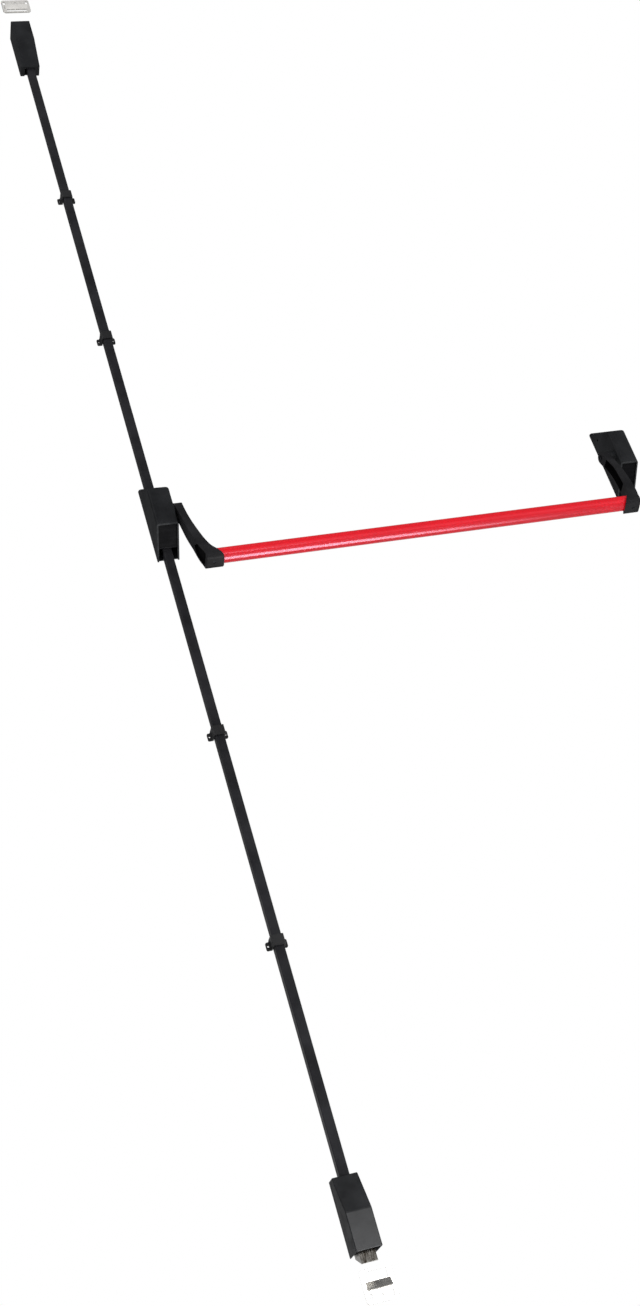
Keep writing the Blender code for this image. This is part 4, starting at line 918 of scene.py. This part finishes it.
class DEVICE_OT_guides(DeviceOperator, bpy.types.Operator):
    """Build the four rod guides with a node group"""
    bl_idname = "device.guides"
    bl_label = "Rod guides"

    def execute(self, context):
        look = DeviceOperator.looks["nylon"]
        names = [f"rod_guide_{k}" for k in (1, 2, 3, 4)]
        model = bpy.data.objects.new("work_guide", mesh_of(guide_model(), "work_guide"))
        bpy.context.scene.collection.objects.link(model)
        places = bpy.data.meshes.new("places")
        places.from_pydata([(0, 0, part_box(name)[0].z + 7 * MM) for name in names], [], [])
        group, ids = row_group()
        body = evaluated(places, group, ids, {"Model": model, "Seed": 4, "Sway": 0.0, "Material": look})
        bpy.data.objects.remove(model, do_unlink=True)
        piece("rod_guides", body, look, "fixed", "nylon", names)
        return {"FINISHED"}


class DEVICE_OT_bar(DeviceOperator, bpy.types.Operator):
    """Build the push bar"""
    bl_idname = "device.bar"
    bl_label = "Push bar"

    def execute(self, context):
        s = sizes()
        low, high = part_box("push_bar")
        body = prism(circle(s.bar_y, s.bar_z, s.bar_radius, 128), "X", low.x, high.x,
                     [circle(s.bar_y, s.bar_z, s.bar_radius - s.bar_wall, 128)])
        dress("push_bar", soften(body, 0.3 * MM, 60, 3), DeviceOperator.looks)
        return {"FINISHED"}


class DEVICE_OT_arms(DeviceOperator, bpy.types.Operator):
    """Build the two push arms"""
    bl_idname = "device.arms"
    bl_label = "Push arms"

    def execute(self, context):
        dress("left_arm", arm(), DeviceOperator.looks, 40)
        dress("right_arm", mirror_x(arm()), DeviceOperator.looks, 40)
        return {"FINISHED"}


class DEVICE_OT_strikes(DeviceOperator, bpy.types.Operator):
    """Build the two strikes"""
    bl_idname = "device.strikes"
    bl_label = "Strikes"

    def execute(self, context):
        low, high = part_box("bottom_strike")
        body = strike(high.x - low.x, flange=19 * MM, ramp_height=12.5 * MM, window_width=34 * MM,
                      window_height=14 * MM, spacing=33 * MM)
        dress("bottom_strike", shift(body, (low.x + high.x) / 2, high.z), DeviceOperator.looks)
        low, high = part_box("top_strike")
        body = mirror_z(strike(high.x - low.x, flange=19.5 * MM, ramp_height=10 * MM, window_width=46 * MM,
                               window_height=6.5 * MM, spacing=49.5 * MM))
        dress("top_strike", shift(body, (low.x + high.x) / 2, low.z), DeviceOperator.looks)
        return {"FINISHED"}


class DEVICE_OT_hardware(DeviceOperator, bpy.types.Operator):
    """Dress the chassis, the mechanism and the fasteners"""
    bl_idname = "device.hardware"
    bl_label = "Chassis and mechanism"

    def execute(self, context):
        looks, slots = DeviceOperator.looks, record_slots()
        for name in ("centre_chassis", "end_chassis", "top_latch_chassis", "bottom_latch_chassis", "drive_lever",
                     "upper_tail", "lower_tail", "pinion_post", "left_axle", "right_axle", "left_spacer",
                     "right_spacer", "left_arm_screw", "right_arm_screw", "lever_pin", "pinion",
                     "centre_cover_screw", "end_cover_screw", "top_latch_screw", "bottom_latch_screw",
                     "left_bar_grub", "right_bar_grub"):
            dress(name, refined(name, 0.2 * MM, 40, 2), looks)
        for name in ("top_bolt_pin", "bottom_bolt_pin", "upper_tail_pin", "lower_tail_pin", "centre_spring",
                     "end_spring"):
            dress(name, refined(name, 0), looks, 50)
        return {"FINISHED"}


class DEVICE_OT_stage(DeviceOperator, bpy.types.Operator):
    """Add the floor, the light and the camera"""
    bl_idname = "device.stage"
    bl_label = "Floor, light and camera"

    def execute(self, context):
        scene = context.scene
        look, tree, shader, coords = blank("pale_floor")
        tone = mix(tree, ramp(tree, noise(tree, coords, 0.3, 3), 0.3, 0.7), rgba(colours().floor),
                   rgba(tuple(v * 0.97 for v in colours().floor)))
        tree.links.new(tone, shader.inputs["Base Color"])
        shader.inputs["Roughness"].default_value = 0.7
        floor = bmesh.new()
        bmesh.ops.create_grid(floor, x_segments=8, y_segments=8, size=8.0)
        bmesh.ops.translate(floor, verts=floor.verts, vec=(0.45, 0, -1.95))
        made = bpy.data.objects.new("floor", mesh_of(floor, "floor"))
        made.data.materials.append(look)
        scene.collection.objects.link(made)

        # The low card shows only in the bottom latch's slope, as it is flagged off from the nickel plate.
        slope = bpy.data.collections.new("slope")
        slope.objects.link(bpy.data.objects["fine_bottom_latch_cover"])
        # Name, place, aim, width, height, watts, and whether it lights the paint or only shows in it as a card.
        for name, place, aim, wide, high, power, lights in (
                ("key", (-2.2, -3.2, 2.4), (0.3, 0, 0), 2.4, 2.4, 95, True),
                ("fill", (3.6, -1.7, 0.6), (0.3, 0, 0), 2.0, 2.4, 42, True),
                ("low", (0.5, -2.9, -0.85), (0.2, 0, -1.0), 0.8, 0.7, 9, True),
                ("high_card", (0.55, -1.9, 3.8), (0, 0, 1.4), 1.2, 1.2, 3.6, False),
                ("bounce", (0.4, -0.9, -1.93), (0.4, -0.9, 0), 2.0, 1.6, 12, True),
                ("floor_card", (0.70, -0.28, -1.93), (0.70, -0.28, 0), 0.85, 1.1, 44, False),
                ("corner_card", (1.23, 0.0, -1.93), (1.23, 0.0, 0), 0.3, 0.8, 5, False),
                ("low_card", (0.15, -0.9, -1.75), (0, -0.03, -1.36), 0.3, 0.3, 185, False)):
            data = bpy.data.lights.new(name, "AREA")
            data.shape, data.size, data.size_y, data.energy = "RECTANGLE", wide, high, power
            lamp = bpy.data.objects.new(name, data)
            lamp.location = place
            lamp.rotation_mode = "QUATERNION"
            lamp.rotation_quaternion = (Vector(aim) - Vector(place)).to_track_quat("-Z", "Y")
            lamp.visible_camera = False
            lamp.visible_diffuse = lights
            lamp.visible_glossy = name != "bounce"
            if name == "low_card":
                lamp.light_linking.receiver_collection = slope
            scene.collection.objects.link(lamp)

        world = bpy.data.worlds.new("studio")
        scene.world = world
        world.use_nodes = True
        tree = world.node_tree
        tree.nodes.clear()
        path = node(tree, "ShaderNodeLightPath").outputs
        seen = math_node(tree, "MAXIMUM", path["Is Camera Ray"],
                         math_node(tree, "MAXIMUM", path["Is Glossy Ray"], path["Is Transmission Ray"]))
        way = node(tree, "ShaderNodeSeparateXYZ", {0: node(tree, "ShaderNodeTexCoord").outputs["Generated"]})
        # Flat black faces seen from below mirror the sky, so reflections find it grey, and darker overhead.
        upper = ramp(tree, way.outputs["Z"], 0.05, 0.5, 1.0, 0.16)
        shown = math_node(tree, "MAXIMUM", upper, path["Is Camera Ray"])
        plain = node(tree, "ShaderNodeBackground", {"Color": (1, 1, 1, 1), "Strength": 0.42})
        white = node(tree, "ShaderNodeBackground", {"Color": (1, 1, 1, 1), "Strength": shown})
        blend = node(tree, "ShaderNodeMixShader", {0: seen, 1: plain.outputs[0], 2: white.outputs[0]})
        end = node(tree, "ShaderNodeOutputWorld")
        tree.links.new(blend.outputs[0], end.inputs[0])

        # The camera was fitted to the edges of the cases, the rods and the bar.
        data = bpy.data.cameras.new("camera")
        data.sensor_width = 36
        data.lens = 1683.73 / 1306 * 36
        data.clip_end = 50
        camera = bpy.data.objects.new("camera", data)
        turn = Matrix(((0.94477, -0.18178, -0.27270), (0.14160, -0.52401, 0.83986),
                       (-0.29556, -0.83209, -0.46933))).transposed()
        camera.matrix_world = Matrix.Translation((-0.66024, -2.48518, -1.71309)) @ turn.to_4x4()
        scene.collection.objects.link(camera)
        scene.camera = camera
        scene.view_settings.view_transform = "Standard"
        return {"FINISHED"}


class DEVICE_PT_panel(bpy.types.Panel):
    """Sizes, colours and build steps of the exit device"""
    bl_idname = "DEVICE_PT_panel"
    bl_label = "Exit Device"
    bl_space_type = "VIEW_3D"
    bl_region_type = "UI"
    bl_category = "Exit Device"

    def draw(self, context):
        layout = self.layout
        for group in (context.scene.device_sizes, context.scene.device_colours):
            box = layout.box()
            for name in group.__annotations__:
                box.prop(group, name)
        for operator in STEPS:
            layout.operator(operator.bl_idname)


STEPS = (DEVICE_OT_covers, DEVICE_OT_latches, DEVICE_OT_rods, DEVICE_OT_guides, DEVICE_OT_bar, DEVICE_OT_arms,
         DEVICE_OT_strikes, DEVICE_OT_hardware, DEVICE_OT_stage)
CLASSES = (DeviceSizes, DeviceColours) + STEPS + (DEVICE_PT_panel,)


def register():
    for item in CLASSES:
        bpy.utils.register_class(item)
    bpy.types.Scene.device_sizes = PointerProperty(type=DeviceSizes)
    bpy.types.Scene.device_colours = PointerProperty(type=DeviceColours)


def unregister():
    del bpy.types.Scene.device_colours
    del bpy.types.Scene.device_sizes
    for item in reversed(CLASSES):
        bpy.utils.unregister_class(item)


def main():
    register()
    for kept in ("Cube", "Light", "Camera"):
        if kept in bpy.data.objects:
            bpy.data.objects.remove(bpy.data.objects[kept], do_unlink=True)
    DeviceOperator.looks = make_materials()
    for step in STEPS:
        group, name = step.bl_idname.split(".")
        if getattr(getattr(bpy.ops, group), name)() != {"FINISHED"}:
            raise RuntimeError(f"{step.bl_label} didn't finish")


if __name__ == "__main__":
    main()
